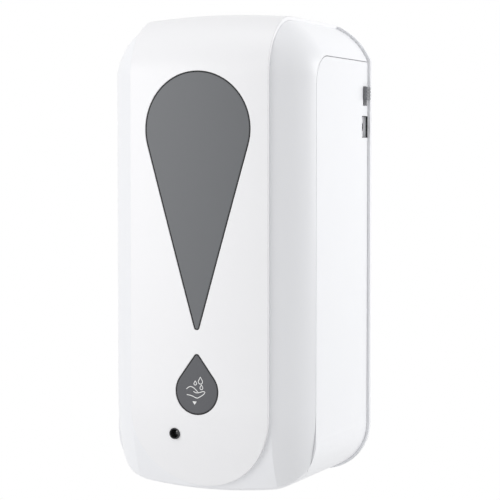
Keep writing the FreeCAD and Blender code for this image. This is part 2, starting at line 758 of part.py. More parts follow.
def side_features(housing):
    """Recess and hole for the power inlet and the slot for the switch, on the right side."""
    half_w = jack_recess_width / 2
    half_h = jack_recess_height / 2
    lining = box(inner_half_width - jack_floor, body_half_width - 0.5, jack_mid_y - half_w - 1.6,
                 housing_back_y, jack_centre_z - half_h - 1.6, jack_centre_z + half_h + 1.6)
    housing = housing.fuse(lining)
    housing = housing.cut(box(inner_half_width, body_half_width + 5, jack_mid_y - half_w, 5,
                              jack_centre_z - half_h, jack_centre_z + half_h))
    housing = housing.cut(rod(jack_face_radius, (inner_half_width - 5, jack_mid_y, jack_centre_z), (1, 0, 0), 12))
    pocket_x = inner_half_width - jack_floor - jack_body_length - fit_gap
    for mid_z, height in ((jack_centre_z, jack_body_height), (switch_centre_z, switch_slot_height + 3)):
        half = height / 2 + fit_gap
        inner = inner_half_width - jack_floor if mid_z == jack_centre_z else inner_half_width
        housing = housing.cut(box(pocket_x, inner, housing_inner_y - 8, 0, mid_z - half, mid_z + half))
    slot = box(inner_half_width - 3, body_half_width + 5, jack_mid_y - switch_slot_width / 2,
               jack_mid_y + switch_slot_width / 2, switch_centre_z - switch_slot_height / 2,
               switch_centre_z + switch_slot_height / 2)
    return housing.cut(slot)


def sensor_slot(grow):
    return box(-sensor_window_length / 2 - grow, sensor_window_length / 2 + grow,
               sensor_y - sensor_window_width / 2 - grow, sensor_y + sensor_window_width / 2 + grow,
               body_bottom - 10, body_bottom + shell_wall + 0.8)


def make_sensor_parts():
    window = outer_form.common(sensor_slot(0))
    board = box(-sensor_board_half_x, sensor_board_half_x, sensor_y - sensor_board_half_y,
                sensor_y + sensor_board_half_y, sensor_board_z, sensor_board_z + board_thickness)
    eyes = []
    for side in (-1, 1):
        middle = (side * sensor_eye_x, sensor_y, sensor_board_z - led_length + led_radius)
        eye = rod(led_radius, middle, (0, 0, 1), led_length - led_radius)
        dome = Part.makeSphere(led_radius, Vector(*middle))
        eyes.append(joined([eye, dome]))
    return window, board, Part.makeCompound(eyes)


# ======================= chassis, batteries and boards =======================
deck_front_y = bottle_front_y - seat_gap - deck_thickness
door_left = box_left_x - door_overlap
door_right = box_right_x + door_overlap
door_low = box_bottom_z - door_overlap
door_high = box_top_z + door_overlap


def make_chassis():
    w = chassis_half_width
    wall = box(-w, w, chassis_front_y, chassis_back_y, body_bottom + 9, side_top_z - 3)
    deck = box(-w, w, deck_front_y, chassis_front_y + 1, deck_bottom, deck_top)
    lip_x = w - deck_lip_side_room
    lip = box(-lip_x, lip_x, deck_front_y, deck_front_y + deck_thickness, deck_bottom,
              deck_top + deck_lip_height)
    chassis = joined([wall, deck, lip])
    for x in (-w + 1, w - 3):
        rib = polygon([(x, chassis_front_y + 0.5, deck_bottom + 0.5),
                       (x, deck_front_y + deck_rib_reach, deck_bottom + 0.5),
                       (x, chassis_front_y + 0.5, deck_bottom - deck_rib_drop)]).extrude(Vector(2, 0, 0))
        chassis = chassis.fuse(rib)
    chassis = chassis.cut(box(box_left_x + box_wall, box_right_x - box_wall, chassis_front_y - 1,
                              chassis_back_y + 1, box_bottom_z + box_wall, box_top_z - box_wall))
    chassis = chassis.fuse(door_rails())
    chassis = chassis.cut(rod(spigot_radius + 5.1, (0, nozzle_y, deck_bottom - 1), (0, 0, 1), deck_thickness + 2))
    for x, z in boss_places:
        chassis = chassis.cut(rod(self_tapper_radius + fit_gap, (x, chassis_front_y - 1, z), (0, 1, 0), 5))
    for x in pump_screw_x:
        chassis = chassis.cut(rod(self_tapper_radius, (x, pump_screw_y, deck_bottom - 1), (0, 0, 1), 3.4))
    for x, z in wire_passes:
        chassis = chassis.cut(rod(wire_hole_radius, (x, chassis_front_y - 1, z), (0, 1, 0), 5))
    return chassis.common(casing_form(shell_wall + 0.8, 10.0)).removeSplitter()


def door_rails():
    rails = []
    top = door_high + 2
    for edge, way in ((door_left, -1), (door_right, 1)):
        near = edge + way * seat_gap
        far = near + way * rail_width
        over = edge - way * 1.4
        upright = box(min(near, far), max(near, far), rail_front_y, chassis_front_y + 0.5, door_low, top)
        lip = box(min(over, near), max(over, near), rail_front_y, door_front_y - seat_gap, door_low, top)
        rails.append(joined([upright, lip]))
    rails.append(box(door_left - rail_width, door_right + rail_width, door_front_y, chassis_front_y + 0.5,
                     door_low - seat_gap - 2, door_low - seat_gap))
    return rails


def make_battery_door():
    door = box(door_left, door_right, door_front_y, door_back_y, door_low, door_high)
    mid = (door_left + door_right) / 2
    for step in range(grip_count):
        z = door_high - 8 - step * grip_pitch
        door = door.cut(box(mid - 12, mid + 12, door_front_y - 1, door_front_y + 0.7, z, z + grip_pitch / 2))
    return door.removeSplitter()


def cell_x(index):
    return box_left_x + box_wall + cell_pitch * (index + 0.5)


cell_low_z = box_bottom_z + box_wall + contact_thickness
cell_high_z = box_top_z - box_wall - contact_thickness
cell_y = chassis_back_y + cell_play + cell_radius


def make_battery_box():
    case = box(box_left_x, box_right_x, chassis_back_y, box_back_y, box_bottom_z, box_top_z)
    case = case.cut(box(box_left_x + box_wall, box_right_x - box_wall, chassis_back_y - 1,
                        box_back_y - box_wall, box_bottom_z + box_wall, box_top_z - box_wall))
    for i in range(1, cell_count):
        x = box_left_x + box_wall + cell_pitch * i
        rib = box(x - 0.3, x + 0.3, cell_y + 4.5, box_back_y - 0.5, box_bottom_z + 1, box_top_z - 1)
        case = case.fuse(rib)
    return case.removeSplitter()


def make_cells():
    cells = []
    for i in range(cell_count):
        up = i % 2 == 0
        way = 1 if up else -1
        flat_end = cell_low_z + spring_height if up else cell_high_z - spring_height
        body = rod(cell_radius, (cell_x(i), cell_y, flat_end), (0, 0, way), cell_length)
        button = rod(cell_button_radius, (cell_x(i), cell_y, flat_end + way * (cell_length - 0.5)), (0, 0, way),
                     cell_button_height + 0.5)
        cells.append(joined([body, button]))
    return Part.makeCompound(cells)


def coil_spring(radius, wire_radius, rise):
    """An open coil along +Z from the origin, measured between the wire's middles."""
    steps = spring_turns * 12
    path = Part.BSplineCurve()
    path.interpolate([Vector(radius * math.cos(math.radians(30 * k)), radius * math.sin(math.radians(30 * k)),
                             rise * k / steps) for k in range(steps + 1)])
    section = Part.Wire(Part.makeCircle(wire_radius, Vector(radius, 0, 0), path.tangent(path.FirstParameter)[0]))
    return Part.Wire(path.toShape()).makePipeShell([section], True, False)


def make_contacts():
    plates = []
    springs = []
    for i in range(cell_count):
        for z in (cell_low_z - contact_thickness, cell_high_z):
            plates.append(box(cell_x(i) - contact_half_width, cell_x(i) + contact_half_width,
                              cell_y - contact_half_width, cell_y + contact_half_width, z, z + contact_thickness))
        up = i % 2 == 0
        base = cell_low_z if up else cell_high_z - spring_height
        wire = coil_spring(spring_radius, spring_wire_radius, spring_height - 2 * spring_wire_radius - fit_gap)
        springs.append(wire.translated(Vector(cell_x(i), cell_y, base + spring_wire_radius + fit_gap / 2)))
    return Part.makeCompound(plates), Part.makeCompound(springs)


def make_main_board():
    board = box(board_left_x, board_left_x + board_width, board_front_y, board_back_y, board_bottom_z,
                board_bottom_z + board_height)
    x = board_left_x + board_width / 2
    chip = box(x - 5, x + 5, board_front_y - 1.6, board_front_y, board_bottom_z + 26, board_bottom_z + 36)
    plug = box(x - 7, x + 7, board_front_y - 5, board_front_y, board_bottom_z + 5, board_bottom_z + 11)
    can = rod(4.0, (x - 3, board_front_y, board_bottom_z + 48), (0, -1, 0), 6.5)
    coil = box(x + 3, x + 9, board_front_y - 4, board_front_y, board_bottom_z + 42, board_bottom_z + 48)
    return board, Part.makeCompound([chip, plug, can, coil])


def make_inlet():
    face_x = inner_half_width - jack_floor
    half_h = jack_body_height / 2
    half_w = jack_body_width / 2
    body = box(face_x - jack_body_length, face_x, jack_mid_y - half_w, jack_mid_y + half_w,
               jack_centre_z - half_h, jack_centre_z + half_h)
    body = body.cut(rod(jack_barrel_radius, (face_x - 9.5, jack_mid_y, jack_centre_z), (1, 0, 0), 20))
    return body.fuse(rod(jack_pin_radius, (face_x - 10, jack_mid_y, jack_centre_z), (1, 0, 0), 9)).removeSplitter()


knob_z = switch_centre_z + (switch_slot_height - knob_height) / 2 - moving_gap
stem_half_y = 1.8
stem_half_z = 2.4


def make_switch():
    half_w = jack_body_width / 2
    back_x = inner_half_width - switch_body_length
    half_h = switch_slot_height / 2 + 1.5
    body = box(back_x, inner_half_width, jack_mid_y - half_w, jack_mid_y + half_w,
               switch_centre_z - half_h, switch_centre_z + half_h)
    body = body.cut(box(back_x + 2, inner_half_width + 1, jack_mid_y - stem_half_y - moving_gap,
                        jack_mid_y + stem_half_y + moving_gap, switch_centre_z - switch_slot_height / 2,
                        switch_centre_z + switch_slot_height / 2))
    knob_half_y = switch_slot_width / 2 - moving_gap
    knob = box(inner_half_width + moving_gap, body_half_width + knob_stand_out, jack_mid_y - knob_half_y,
               jack_mid_y + knob_half_y, knob_z - knob_height / 2, knob_z + knob_height / 2)
    grips = [e for e in knob.Edges if e.BoundBox.XMin > body_half_width + knob_stand_out - 1e-3]
    knob = knob.makeFillet(0.6, grips)
    for step in (-1, 0, 1):
        z = knob_z + step * 1.9
        knob = knob.cut(box(body_half_width + knob_stand_out - 0.5, 99, jack_mid_y - 9, jack_mid_y + 9,
                            z - 0.35, z + 0.35))
    stem = box(back_x + 3, inner_half_width + 1, jack_mid_y - stem_half_y, jack_mid_y + stem_half_y,
               knob_z - stem_half_z, knob_z + stem_half_z)
    return body, joined([knob, stem])


# ======================= bottle =======================
def make_bottle():
    outer = rounded_box(-bottle_half_width, bottle_half_width, bottle_front_y, bottle_back_y, bottle_bottom,
                        bottle_shoulder, bottle_corner_radius, bottle_edge_radius)
    w = bottle_wall
    inner = rounded_box(-bottle_half_width + w, bottle_half_width - w, bottle_front_y + w, bottle_back_y - w,
                        bottle_bottom + w, bottle_shoulder - w, bottle_corner_radius - w, bottle_edge_radius - w)
    neck = rod(neck_radius, (0, bottle_mid_y, bottle_shoulder - w / 2), (0, 0, 1),
               neck_top - bottle_shoulder + w / 2)
    spigot = rod(spigot_radius, (0, nozzle_y, bottle_bottom - spigot_length), (0, 0, 1), spigot_length + w / 2)
    bottle = joined([outer, neck, spigot]).cut(inner)
    bottle = bottle.cut(rod(neck_radius - neck_wall, (0, bottle_mid_y, bottle_shoulder - 4), (0, 0, 1), 40))
    bottle = bottle.cut(rod(spigot_bore, (0, nozzle_y, bottle_bottom - spigot_length - 1), (0, 0, 1), 12))
    return bottle.removeSplitter()


def make_cap():
    low = cap_top - cap_height
    cap = rod(cap_radius, (0, bottle_mid_y, low), (0, 0, 1), cap_height)
    rim = [e for e in cap.Edges if abs(e.CenterOfMass.z - cap_top) < 1e-3]
    cap = cap.makeFillet(1.2, rim)
    cap = cap.cut(rod(neck_radius + moving_gap, (0, bottle_mid_y, low - 1), (0, 0, 1), cap_height - cap_wall + 1))
    for i in range(cap_flutes):
        turn = 2 * math.pi * i / cap_flutes
        x = (cap_radius + 0.3) * math.cos(turn)
        y = bottle_mid_y + (cap_radius + 0.3) * math.sin(turn)
        cap = cap.cut(rod(cap_flute_radius, (x, y, low - 1), (0, 0, 1), cap_height - 1.5))
    gasket = ring(neck_radius, neck_radius - neck_wall - 2, (0, bottle_mid_y, neck_top + seat_gap), (0, 0, 1),
                  gasket_thickness)
    return cap.removeSplitter(), gasket


# ======================= pump =======================
pump_outer_radius = track_radius + tube_pressed / 2 + track_wall
pump_low_z = pump_z - pump_outer_radius - 3
pump_screw_x = (pump_x - pump_outer_radius + 10, 24.0)
pump_screw_y = pump_back_front_y - 6.0
shelf_z = tube_low_z - 6.0
standoffs = [(idler_x - 3, idler_z + 21), (motor_x + 12, motor_z - 12), (idler_x + 12, idler_z - 17)]
wire_passes = [(motor_x + 7.5, motor_z), (24.0, body_bottom + 17)]


def lid_ears(radius, start_y, length):
    ears = []
    for turn in lid_ear_turns:
        x = pump_x + pump_outer_radius * math.cos(math.radians(turn))
        z = pump_z + pump_outer_radius * math.sin(math.radians(turn))
        ears.append(rod(radius, (x, start_y, z), (0, 1, 0), length))
    return ears


def make_pump_housing():
    right = motor_x + motor_radius + 3
    plate = box(pump_x - pump_outer_radius, right, pump_back_front_y, pump_back_y, pump_low_z, deck_bottom)
    depth = pump_back_front_y - pump_front_y
    cavity_radius = track_radius + tube_pressed / 2 + fit_gap
    wall = rod(pump_outer_radius, (pump_x, pump_front_y, pump_z), (0, 1, 0), depth + 0.5)
    wall = wall.fuse(box(pump_x, pump_x + press_run, pump_front_y, pump_back_front_y + 0.5,
                         pump_z - pump_outer_radius, pump_z + pump_outer_radius))
    wall = wall.fuse(lid_ears(lid_ear_radius, pump_front_y, depth + 0.5))
    wall = wall.cut(rod(cavity_radius, (pump_x, pump_front_y - 1, pump_z), (0, 1, 0), depth + 1))
    wall = wall.cut(box(pump_x, pump_x + 90, pump_front_y - 1, pump_back_front_y, pump_z - cavity_radius,
                        pump_z + cavity_radius))
    wall = wall.cut(box(pump_x + press_run, pump_x + 90, pump_front_y - 1, pump_back_front_y + 1, -200, 0))
    flange_y = pump_back_front_y - 12
    housing = joined([plate, wall,
                      box(pump_x - pump_outer_radius, -13, flange_y, pump_back_y, deck_bottom - 2.4, deck_bottom),
                      box(13, right, flange_y, pump_back_y, deck_bottom - 2.4, deck_bottom)])
    shelf = joined([box(-11, 11, nozzle_y - 10, pump_back_y, shelf_z - 2.4, shelf_z),
                    box(-11, 11, pump_back_front_y, pump_back_y, shelf_z - 2.4, pump_low_z + 1)])
    housing = housing.fuse(shelf)
    for x, z in standoffs:
        housing = housing.fuse(rod(standoff_radius, (x, pump_back_y - 0.5, z), (0, 1, 0),
                                   motor_plate_y - pump_back_y + 0.5))
        housing = housing.cut(rod(self_tapper_radius, (x, motor_plate_y - 5, z), (0, 1, 0), 9))
    for hole in lid_ears(self_tapper_radius, pump_front_y - 1, 7):
        housing = housing.cut(hole)
    housing = housing.cut(rod(rotor_shaft_radius + running_gap, (pump_x, pump_front_y, pump_z), (0, 1, 0), 60))
    housing = housing.cut(rod(axle_radius, (idler_x, pump_front_y, idler_z), (0, 1, 0), 60))
    housing = housing.cut(rod(nozzle_radius + fit_gap, (0, nozzle_y, -200), (0, 0, 1), 200 + tube_low_z))
    housing = housing.cut(rod(13.0, (0, nozzle_y, deck_bottom - 9), (0, 0, 1), 9))
    for x in pump_screw_x:
        housing = housing.cut(rod(self_tapper_radius + fit_gap, (x, pump_screw_y, deck_bottom - 5), (0, 0, 1), 6))
    return housing.removeSplitter()


def make_pump_lid():
    front = pump_front_y - lid_thickness
    lid = rod(pump_outer_radius, (pump_x, front, pump_z), (0, 1, 0), lid_thickness)
    lid = lid.fuse(lid_ears(lid_ear_radius, front, lid_thickness)).removeSplitter()
    for x in led_post_x:
        lid = lid.fuse(rod(led_post_radius, (x, led_board_back_y, led_post_z), (0, 1, 0),
                           front - led_board_back_y + 0.5))
    lid = lid.cut(rod(rotor_shaft_radius + running_gap, (pump_x, front - 1, pump_z), (0, 1, 0), 9))
    for hole in lid_ears(self_tapper_radius + fit_gap, front - 1, 9):
        lid = lid.cut(hole)
    return lid.removeSplitter()


def make_rotor():
    shaft_front = pump_front_y - lid_thickness
    shaft = rod(rotor_shaft_radius, (pump_x, shaft_front, pump_z), (0, 1, 0),
                gear_a_y + gear_width + 0.3 - shaft_front)
    hub = rod(5.0, (pump_x, rotor_front_y, pump_z), (0, 1, 0), rotor_back_y - rotor_front_y)
    discs = [rod(disc_radius, (pump_x, y, pump_z), (0, 1, 0), disc_thickness)
             for y in (rotor_front_y, rotor_back_y - disc_thickness)]
    rotor = joined([shaft, hub] + discs)
    pins = []
    for x, z in roller_places():
        pin = rod(roller_pin_radius, (x, rotor_front_y, z), (0, 1, 0), rotor_back_y - rotor_front_y)
        rotor = rotor.cut(pin)
        pins.append(pin)
    return rotor.removeSplitter(), Part.makeCompound(pins)


def roller_places():
    places = []
    for i in range(roller_count):
        turn = math.radians(180 + 360 * i / roller_count)
        places.append((pump_x + orbit_radius * math.cos(turn), pump_z + orbit_radius * math.sin(turn)))
    return places


def make_roller(place):
    start = (place[0], nozzle_y - roller_length / 2, place[1])
    return ring(roller_radius, roller_pin_radius + running_gap, start, (0, 1, 0), roller_length)


def gear_blank(teeth, centre_x, centre_z, start_y, first_tooth, width):
    """Spur gear about an axis along Y, one tooth centred on first_tooth degrees."""
    pitch_r = gear_module * teeth / 2
    root_r = pitch_r - 1.2 * gear_module
    tip_r = pitch_r + 0.9 * gear_module
    pitch = 2 * math.pi / teeth
    root_half = 0.31 * pitch
    tip_half = 0.115 * pitch
    points = []
    for k in range(teeth):
        middle = math.radians(first_tooth) + k * pitch
        for radius, lean in ((root_r, -root_half), (tip_r, -tip_half), (tip_r, tip_half), (root_r, root_half)):
            points.append((centre_x + radius * math.cos(middle + lean), start_y,
                           centre_z + radius * math.sin(middle + lean)))
    return polygon(points).extrude(Vector(0, width, 0))


def make_gears():
    rotor_gear = gear_blank(rotor_gear_teeth, pump_x, pump_z, gear_a_y, idler_direction, gear_width)
    rotor_gear = rotor_gear.cut(rod(rotor_shaft_radius, (pump_x, gear_a_y - 1, pump_z), (0, 1, 0), 9))
    facing = idler_direction + 180 + 180 / idler_small_teeth
    small = gear_blank(idler_small_teeth, idler_x, idler_z, gear_a_y, facing, gear_width)
    large = gear_blank(idler_large_teeth, idler_x, idler_z, gear_b_y, motor_direction, gear_width)
    neck_r = gear_module * idler_small_teeth / 2 - 1.3 * gear_module
    neck = rod(neck_r, (idler_x, gear_a_y - gear_gap + 0.2, idler_z), (0, 1, 0),
               motor_plate_y - gear_a_y + gear_gap - 0.4)
    idler = joined([small, large, neck])
    idler = idler.cut(rod(axle_radius + running_gap, (idler_x, gear_a_y - 5, idler_z), (0, 1, 0), 40))
    pinion_face = motor_direction + 180 + 180 / pinion_teeth
    pinion = gear_blank(pinion_teeth, motor_x, motor_z, gear_b_y, pinion_face, gear_width)
    pinion = pinion.cut(rod(motor_shaft_radius, (motor_x, gear_b_y - 1, motor_z), (0, 1, 0), 9))
    return rotor_gear, idler.removeSplitter(), pinion


def make_motor():
    can = rod(motor_radius, (motor_x, motor_front_y, motor_z), (0, 1, 0), motor_length)
    flats = box(motor_x - 40, motor_x + 40, motor_front_y - 1, motor_front_y + motor_length + 1,
                motor_z - motor_radius * 0.78, motor_z + motor_radius * 0.78)
    can = can.common(flats)
    cap = rod(5.0, (motor_x, motor_front_y + motor_length - 0.5, motor_z), (0, 1, 0), 1.7)
    bore = rod(motor_shaft_radius + running_gap, (motor_x, motor_front_y - 1, motor_z), (0, 1, 0), 7)
    shaft = rod(motor_shaft_radius, (motor_x, gear_b_y - 0.4, motor_z), (0, 1, 0),
                motor_front_y + 5.5 - gear_b_y)
    return joined([can, cap]).cut(bore), shaft


def make_motor_plate():
    low = idler_z - 21
    plate = box(idler_x - 8, motor_x + motor_radius + 3, motor_plate_y, motor_front_y, low, idler_z + 25)
    plate = plate.cut(rod(2.6, (motor_x, motor_plate_y - 1, motor_z), (0, 1, 0), 5))
    plate = plate.cut(rod(axle_radius, (idler_x, motor_plate_y - 1, idler_z), (0, 1, 0), 5))
    for x, z in standoffs:
        plate = plate.cut(rod(self_tapper_radius + fit_gap, (x, motor_plate_y - 1, z), (0, 1, 0), 5))
    axle = rod(axle_radius, (idler_x, pump_back_front_y, idler_z), (0, 1, 0), motor_front_y - pump_back_front_y)
    return plate, axle


def pipe_bend(corner_x, corner_z, sign_x, sign_z, outer, inner):
    """Quarter bend in the plane of the pump between a level run and an upright one."""
    level_end = Vector(corner_x - sign_x * tube_bend_radius, nozzle_y, corner_z)
    pivot = Vector(level_end.x, nozzle_y, corner_z + sign_z * tube_bend_radius)
    turn = sign_x * sign_z * -90

    def swept(radius):
        disc = Part.Face(Part.Wire(Part.makeCircle(radius, level_end, Vector(1, 0, 0))))
        return disc.revolve(pivot, Vector(0, 1, 0), turn)
    return swept(outer), swept(inner)


def make_pump_tube():
    """Silicone tube: round ends, and pressed flat all round the pump's track."""
    half = tube_pressed / 2
    wide = tube_pressed_width / 2
    solids = []
    hollows = []
    section = box(pump_x, pump_x + 0.01, nozzle_y - wide, nozzle_y + wide, pump_z + track_radius - half,
                  pump_z + track_radius + half)
    face = [f for f in section.Faces if abs(f.CenterOfMass.x - pump_x) < 1e-6][0]
    solids.append(face.revolve(Vector(pump_x, nozzle_y, pump_z), Vector(0, 1, 0), -180))
    for sign in (1, -1):
        z = pump_z + sign * track_radius
        solids.append(box(pump_x, pump_x + press_run, nozzle_y - wide, nozzle_y + wide, z - half, z + half))
        solid, hollow = pipe_bend(0, z, 1, sign, tube_radius, tube_bore)
        solids.append(solid)
        hollows.append(hollow)
    top_end = deck_bottom - 5.2
    solids.append(rod(tube_radius, (0, nozzle_y, tube_top_z), (0, 0, 1), top_end - tube_top_z))
    hollows.append(rod(tube_bore, (0, nozzle_y, tube_top_z), (0, 0, 1), top_end - tube_top_z + 1))
    solids.append(rod(tube_radius, (0, nozzle_y, tube_low_z), (0, 0, -1), 7.0))
    hollows.append(rod(tube_bore, (0, nozzle_y, tube_low_z), (0, 0, -1), 8.0))
    tube = joined(solids)
    for hollow in hollows:
        tube = tube.cut(hollow)
    return tube.removeSplitter()


def make_deck_socket():
    """Cup in the deck that holds the bottle's seal, with a stub for the tube below."""
    outer = spigot_radius + 5.0
    floor_z = deck_bottom - 5.0
    cup = rod(outer, (0, nozzle_y, floor_z), (0, 0, 1), deck_top - floor_z)
    flange = rod(outer + 2, (0, nozzle_y, deck_bottom - 1.6), (0, 0, 1), 1.6)
    stub = rod(tube_bore - running_gap, (0, nozzle_y, floor_z - 3.5), (0, 0, 1), 4)
    socket = joined([cup, flange, stub])
    seal_outer = outer - 2
    socket = socket.cut(rod(seal_outer, (0, nozzle_y, floor_z + 1.5), (0, 0, 1), 20))
    socket = socket.cut(rod(tube_bore - 0.8, (0, nozzle_y, floor_z - 9), (0, 0, 1), 20))
    seal = ring(seal_outer, spigot_radius + running_gap, (0, nozzle_y, floor_z + 1.5), (0, 0, 1), 4.6)
    return socket, seal


def make_nozzle():
    tip_z = body_bottom + nozzle_recess
    top_z = tube_low_z - 2.0
    barrel = rod(nozzle_radius, (0, nozzle_y, body_bottom + 8), (0, 0, 1), top_z - body_bottom - 8)
    collar = rod(nozzle_radius + 0.5, (0, nozzle_y, shelf_z), (0, 0, 1), 2.0)
    cone = Part.makeCone(nozzle_tip_radius, nozzle_radius, body_bottom + 8 - tip_z, Vector(0, nozzle_y, tip_z))
    nozzle = joined([barrel, collar, cone])
    nozzle = nozzle.cut(rod(tube_radius + running_gap, (0, nozzle_y, tube_low_z - 7.0), (0, 0, 1), 20))
    nozzle = nozzle.cut(rod(tube_bore, (0, nozzle_y, tip_z - 1), (0, 0, 1), 40))
    nozzle = nozzle.cut(rod(3.2, (0, nozzle_y, tip_z - 1), (0, 0, 1), 6))
    valve = rod(3.2, (0, nozzle_y, tip_z + 2.5), (0, 0, 1), 2.5)
    beak = Part.makeCone(1.0, 2.4, 2.6, Vector(0, nozzle_y, tip_z))
    slit = box(-5, 5, nozzle_y - 0.25, nozzle_y + 0.25, tip_z - 1, tip_z + 1.2)
    return nozzle, joined([valve, beak]).cut(slit)


# ======================= status light, screws and wires =======================
def make_status_light():
    board = box(lens_side - 8, lens_side + 8, led_board_back_y - board_thickness, led_board_back_y,
                lens_z - 6, led_post_z + 3)
    base_y = led_board_back_y - board_thickness
    lamp = rod(led_radius, (lens_side, base_y, lens_z), (0, -1, 0), led_length - led_radius)
    dome = Part.makeSphere(led_radius, Vector(lens_side, base_y - led_length + led_radius, lens_z))
    return board, joined([lamp, dome])


def make_screws():
    head = (self_tapper_head_radius, self_tapper_head_height, self_tapper_radius)
    chassis_set = [screw((x, chassis_front_y, z), (0, 1, 0), 8.0, *head) for x, z in boss_places]
    plate_set = [screw((x, housing_inner_y, z), (0, 1, 0), 3.5, plate_screw_head_radius,
                       self_tapper_head_height, self_tapper_radius) for x, z in plate_screw_places]
    pump_set = [screw((x, pump_screw_y, deck_bottom - 2.4), (0, 0, 1), 4.4, *head) for x in pump_screw_x]
    lid_front = pump_front_y - lid_thickness
    for turn in lid_ear_turns:
        x = pump_x + pump_outer_radius * math.cos(math.radians(turn))
        z = pump_z + pump_outer_radius * math.sin(math.radians(turn))
        pump_set.append(screw((x, lid_front, z), (0, 1, 0), 7.0, *head))
    for x, z in standoffs:
        pump_set.append(screw((x, motor_front_y, z), (0, -1, 0), 6.0, *head))
    return Part.makeCompound(chassis_set), Part.makeCompound(plate_set), Part.makeCompound(pump_set)


def wire_run(points, radius, bend):
    """Round wire along straight runs joined by arcs of the bend radius."""
    stops = [Vector(*p) for p in points]
    edges = []
    here = stops[0]
    for i in range(1, len(stops) - 1):
        back = (stops[i - 1] - stops[i]).normalize()
        ahead = (stops[i + 1] - stops[i]).normalize()
        half = math.acos(max(-1.0, min(1.0, back.dot(ahead)))) / 2
        cut = bend / math.tan(half)
        a = stops[i] + back * cut
        b = stops[i] + ahead * cut
        bisector = (back + ahead).normalize()
        crown = stops[i] + bisector * (bend / math.sin(half) - bend)
        edges.append(Part.LineSegment(here, a).toShape())
        edges.append(Part.Arc(a, crown, b).toShape())
        here = b
    edges.append(Part.LineSegment(here, stops[-1]).toShape())
    path = Part.Wire(edges)
    way = (stops[1] - stops[0]).normalize()
    section = Part.Wire(Part.makeCircle(radius, stops[0], way))
    return path.makePipeShell([section], True, False)


def make_wires():
    y = (board_front_y + board_back_y) / 2
    battery = [rod(0.8, (box_right_x, y, board_bottom_z + 14 + step), (1, 0, 0), board_left_x - box_right_x)
               for step in (0, 3)]
    motor_back = motor_front_y + motor_length
    mx, mz = wire_passes[0]
    motor = []
    for step in (0, 2.4):
        motor.append(wire_run([(board_left_x + 3 + step, y, board_bottom_z),
                               (board_left_x + 3 + step, y, motor_z + 30),
                               (mx - 1.2 + step, y, mz), (mx - 1.2 + step, motor_back, mz)], 0.8, 4.0))
    sx, sz = wire_passes[1]
    edge = (sensor_board_half_x, sensor_y, sensor_board_z + board_thickness / 2)
    sensor = wire_run([(board_left_x + 8.5, y, board_bottom_z), (board_left_x + 8.5, y, body_bottom + 55),
                       (sx, y - 3, sz), (sx, sensor_y + 12, sz), (sx, sensor_y, edge[2]), edge], 1.2, 4.0)
    low_z = lens_z - 17.0
    lamp = wire_run([(lens_side, led_board_back_y - board_thickness / 2, lens_z - 6),
                     (lens_side, led_board_back_y - board_thickness / 2, low_z),
                     (lens_side, sensor_y - 18, low_z), (-12.0, sensor_y - 12, edge[2]),
                     (-12.0, sensor_y - 7, edge[2])], 1.0, 3.0)
    return Part.makeCompound(battery), Part.makeCompound(motor), sensor, lamp


# ======================= write the pieces =======================
save("front_cover", make_front_cover())
save("face_panel", make_face_panel())
save("drop_window", make_drop_window())
badge_plate, badge_sign = make_badge()
save("badge_drop", badge_plate)
save("badge_sign", badge_sign)
save("status_lens", make_status_lens())
lock_barrel, lock_cam, cam_screw = make_lock()
save("lock_barrel", lock_barrel)
save("lock_cam", lock_cam)
save("lock_cam_screw", cam_screw)
save("wall_plate", make_wall_plate())
save("rear_housing", make_rear_housing())
save("hinge_pins", make_hinge_pins())
sensor_window, sensor_board, sensor_eyes = make_sensor_parts()
save("sensor_window", sensor_window)
save("sensor_board", sensor_board)
save("sensor_eyes", sensor_eyes)
save("chassis", make_chassis())
save("battery_box", make_battery_box())
save("battery_door", make_battery_door())
save("battery_cells", make_cells())
contact_plates, contact_springs = make_contacts()
save("contact_plates", contact_plates)
save("contact_springs", contact_springs)
main_board, board_parts = make_main_board()
save("main_board", main_board)
save("board_parts", board_parts)
save("power_inlet", make_inlet())
switch_body, switch_knob = make_switch()
save("switch_body", switch_body)
save("switch_knob", switch_knob)
save("soap_bottle", make_bottle())
bottle_cap, cap_gasket = make_cap()
save("bottle_cap", bottle_cap)
save("cap_gasket", cap_gasket)
save("pump_housing", make_pump_housing())
save("pump_lid", make_pump_lid())
pump_rotor, roller_pins = make_rotor()
save("pump_rotor", pump_rotor)
save("roller_pins", roller_pins)
for number, place in enumerate(roller_places(), 1):
    save("roller_" + str(number), make_roller(place))
rotor_gear, idler_gear, motor_pinion = make_gears()
save("rotor_gear", rotor_gear)
save("idler_gear", idler_gear)
save("motor_pinion", motor_pinion)
motor, motor_shaft = make_motor()
save("motor", motor)
save("motor_shaft", motor_shaft)
motor_plate, idler_axle = make_motor_plate()
save("motor_plate", motor_plate)
save("idler_axle", idler_axle)
save("pump_tube", make_pump_tube())
deck_socket, bottle_seal = make_deck_socket()
save("deck_socket", deck_socket)
save("bottle_seal", bottle_seal)
nozzle, nozzle_valve = make_nozzle()
save("nozzle", nozzle)
save("nozzle_valve", nozzle_valve)
status_board, status_lamp = make_status_light()
save("status_board", status_board)
save("status_lamp", status_lamp)
chassis_screws, plate_screws, pump_screws = make_screws()
save("chassis_screws", chassis_screws)
save("plate_screws", plate_screws)
save("pump_screws", pump_screws)
battery_wires, motor_wires, sensor_lead, lamp_lead = make_wires()
save("battery_wires", battery_wires)
save("motor_wires", motor_wires)
save("sensor_lead", sensor_lead)
save("lamp_lead", lamp_lead)
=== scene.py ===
import json
import math

import bmesh
import bpy
from mathutils import Matrix, Vector


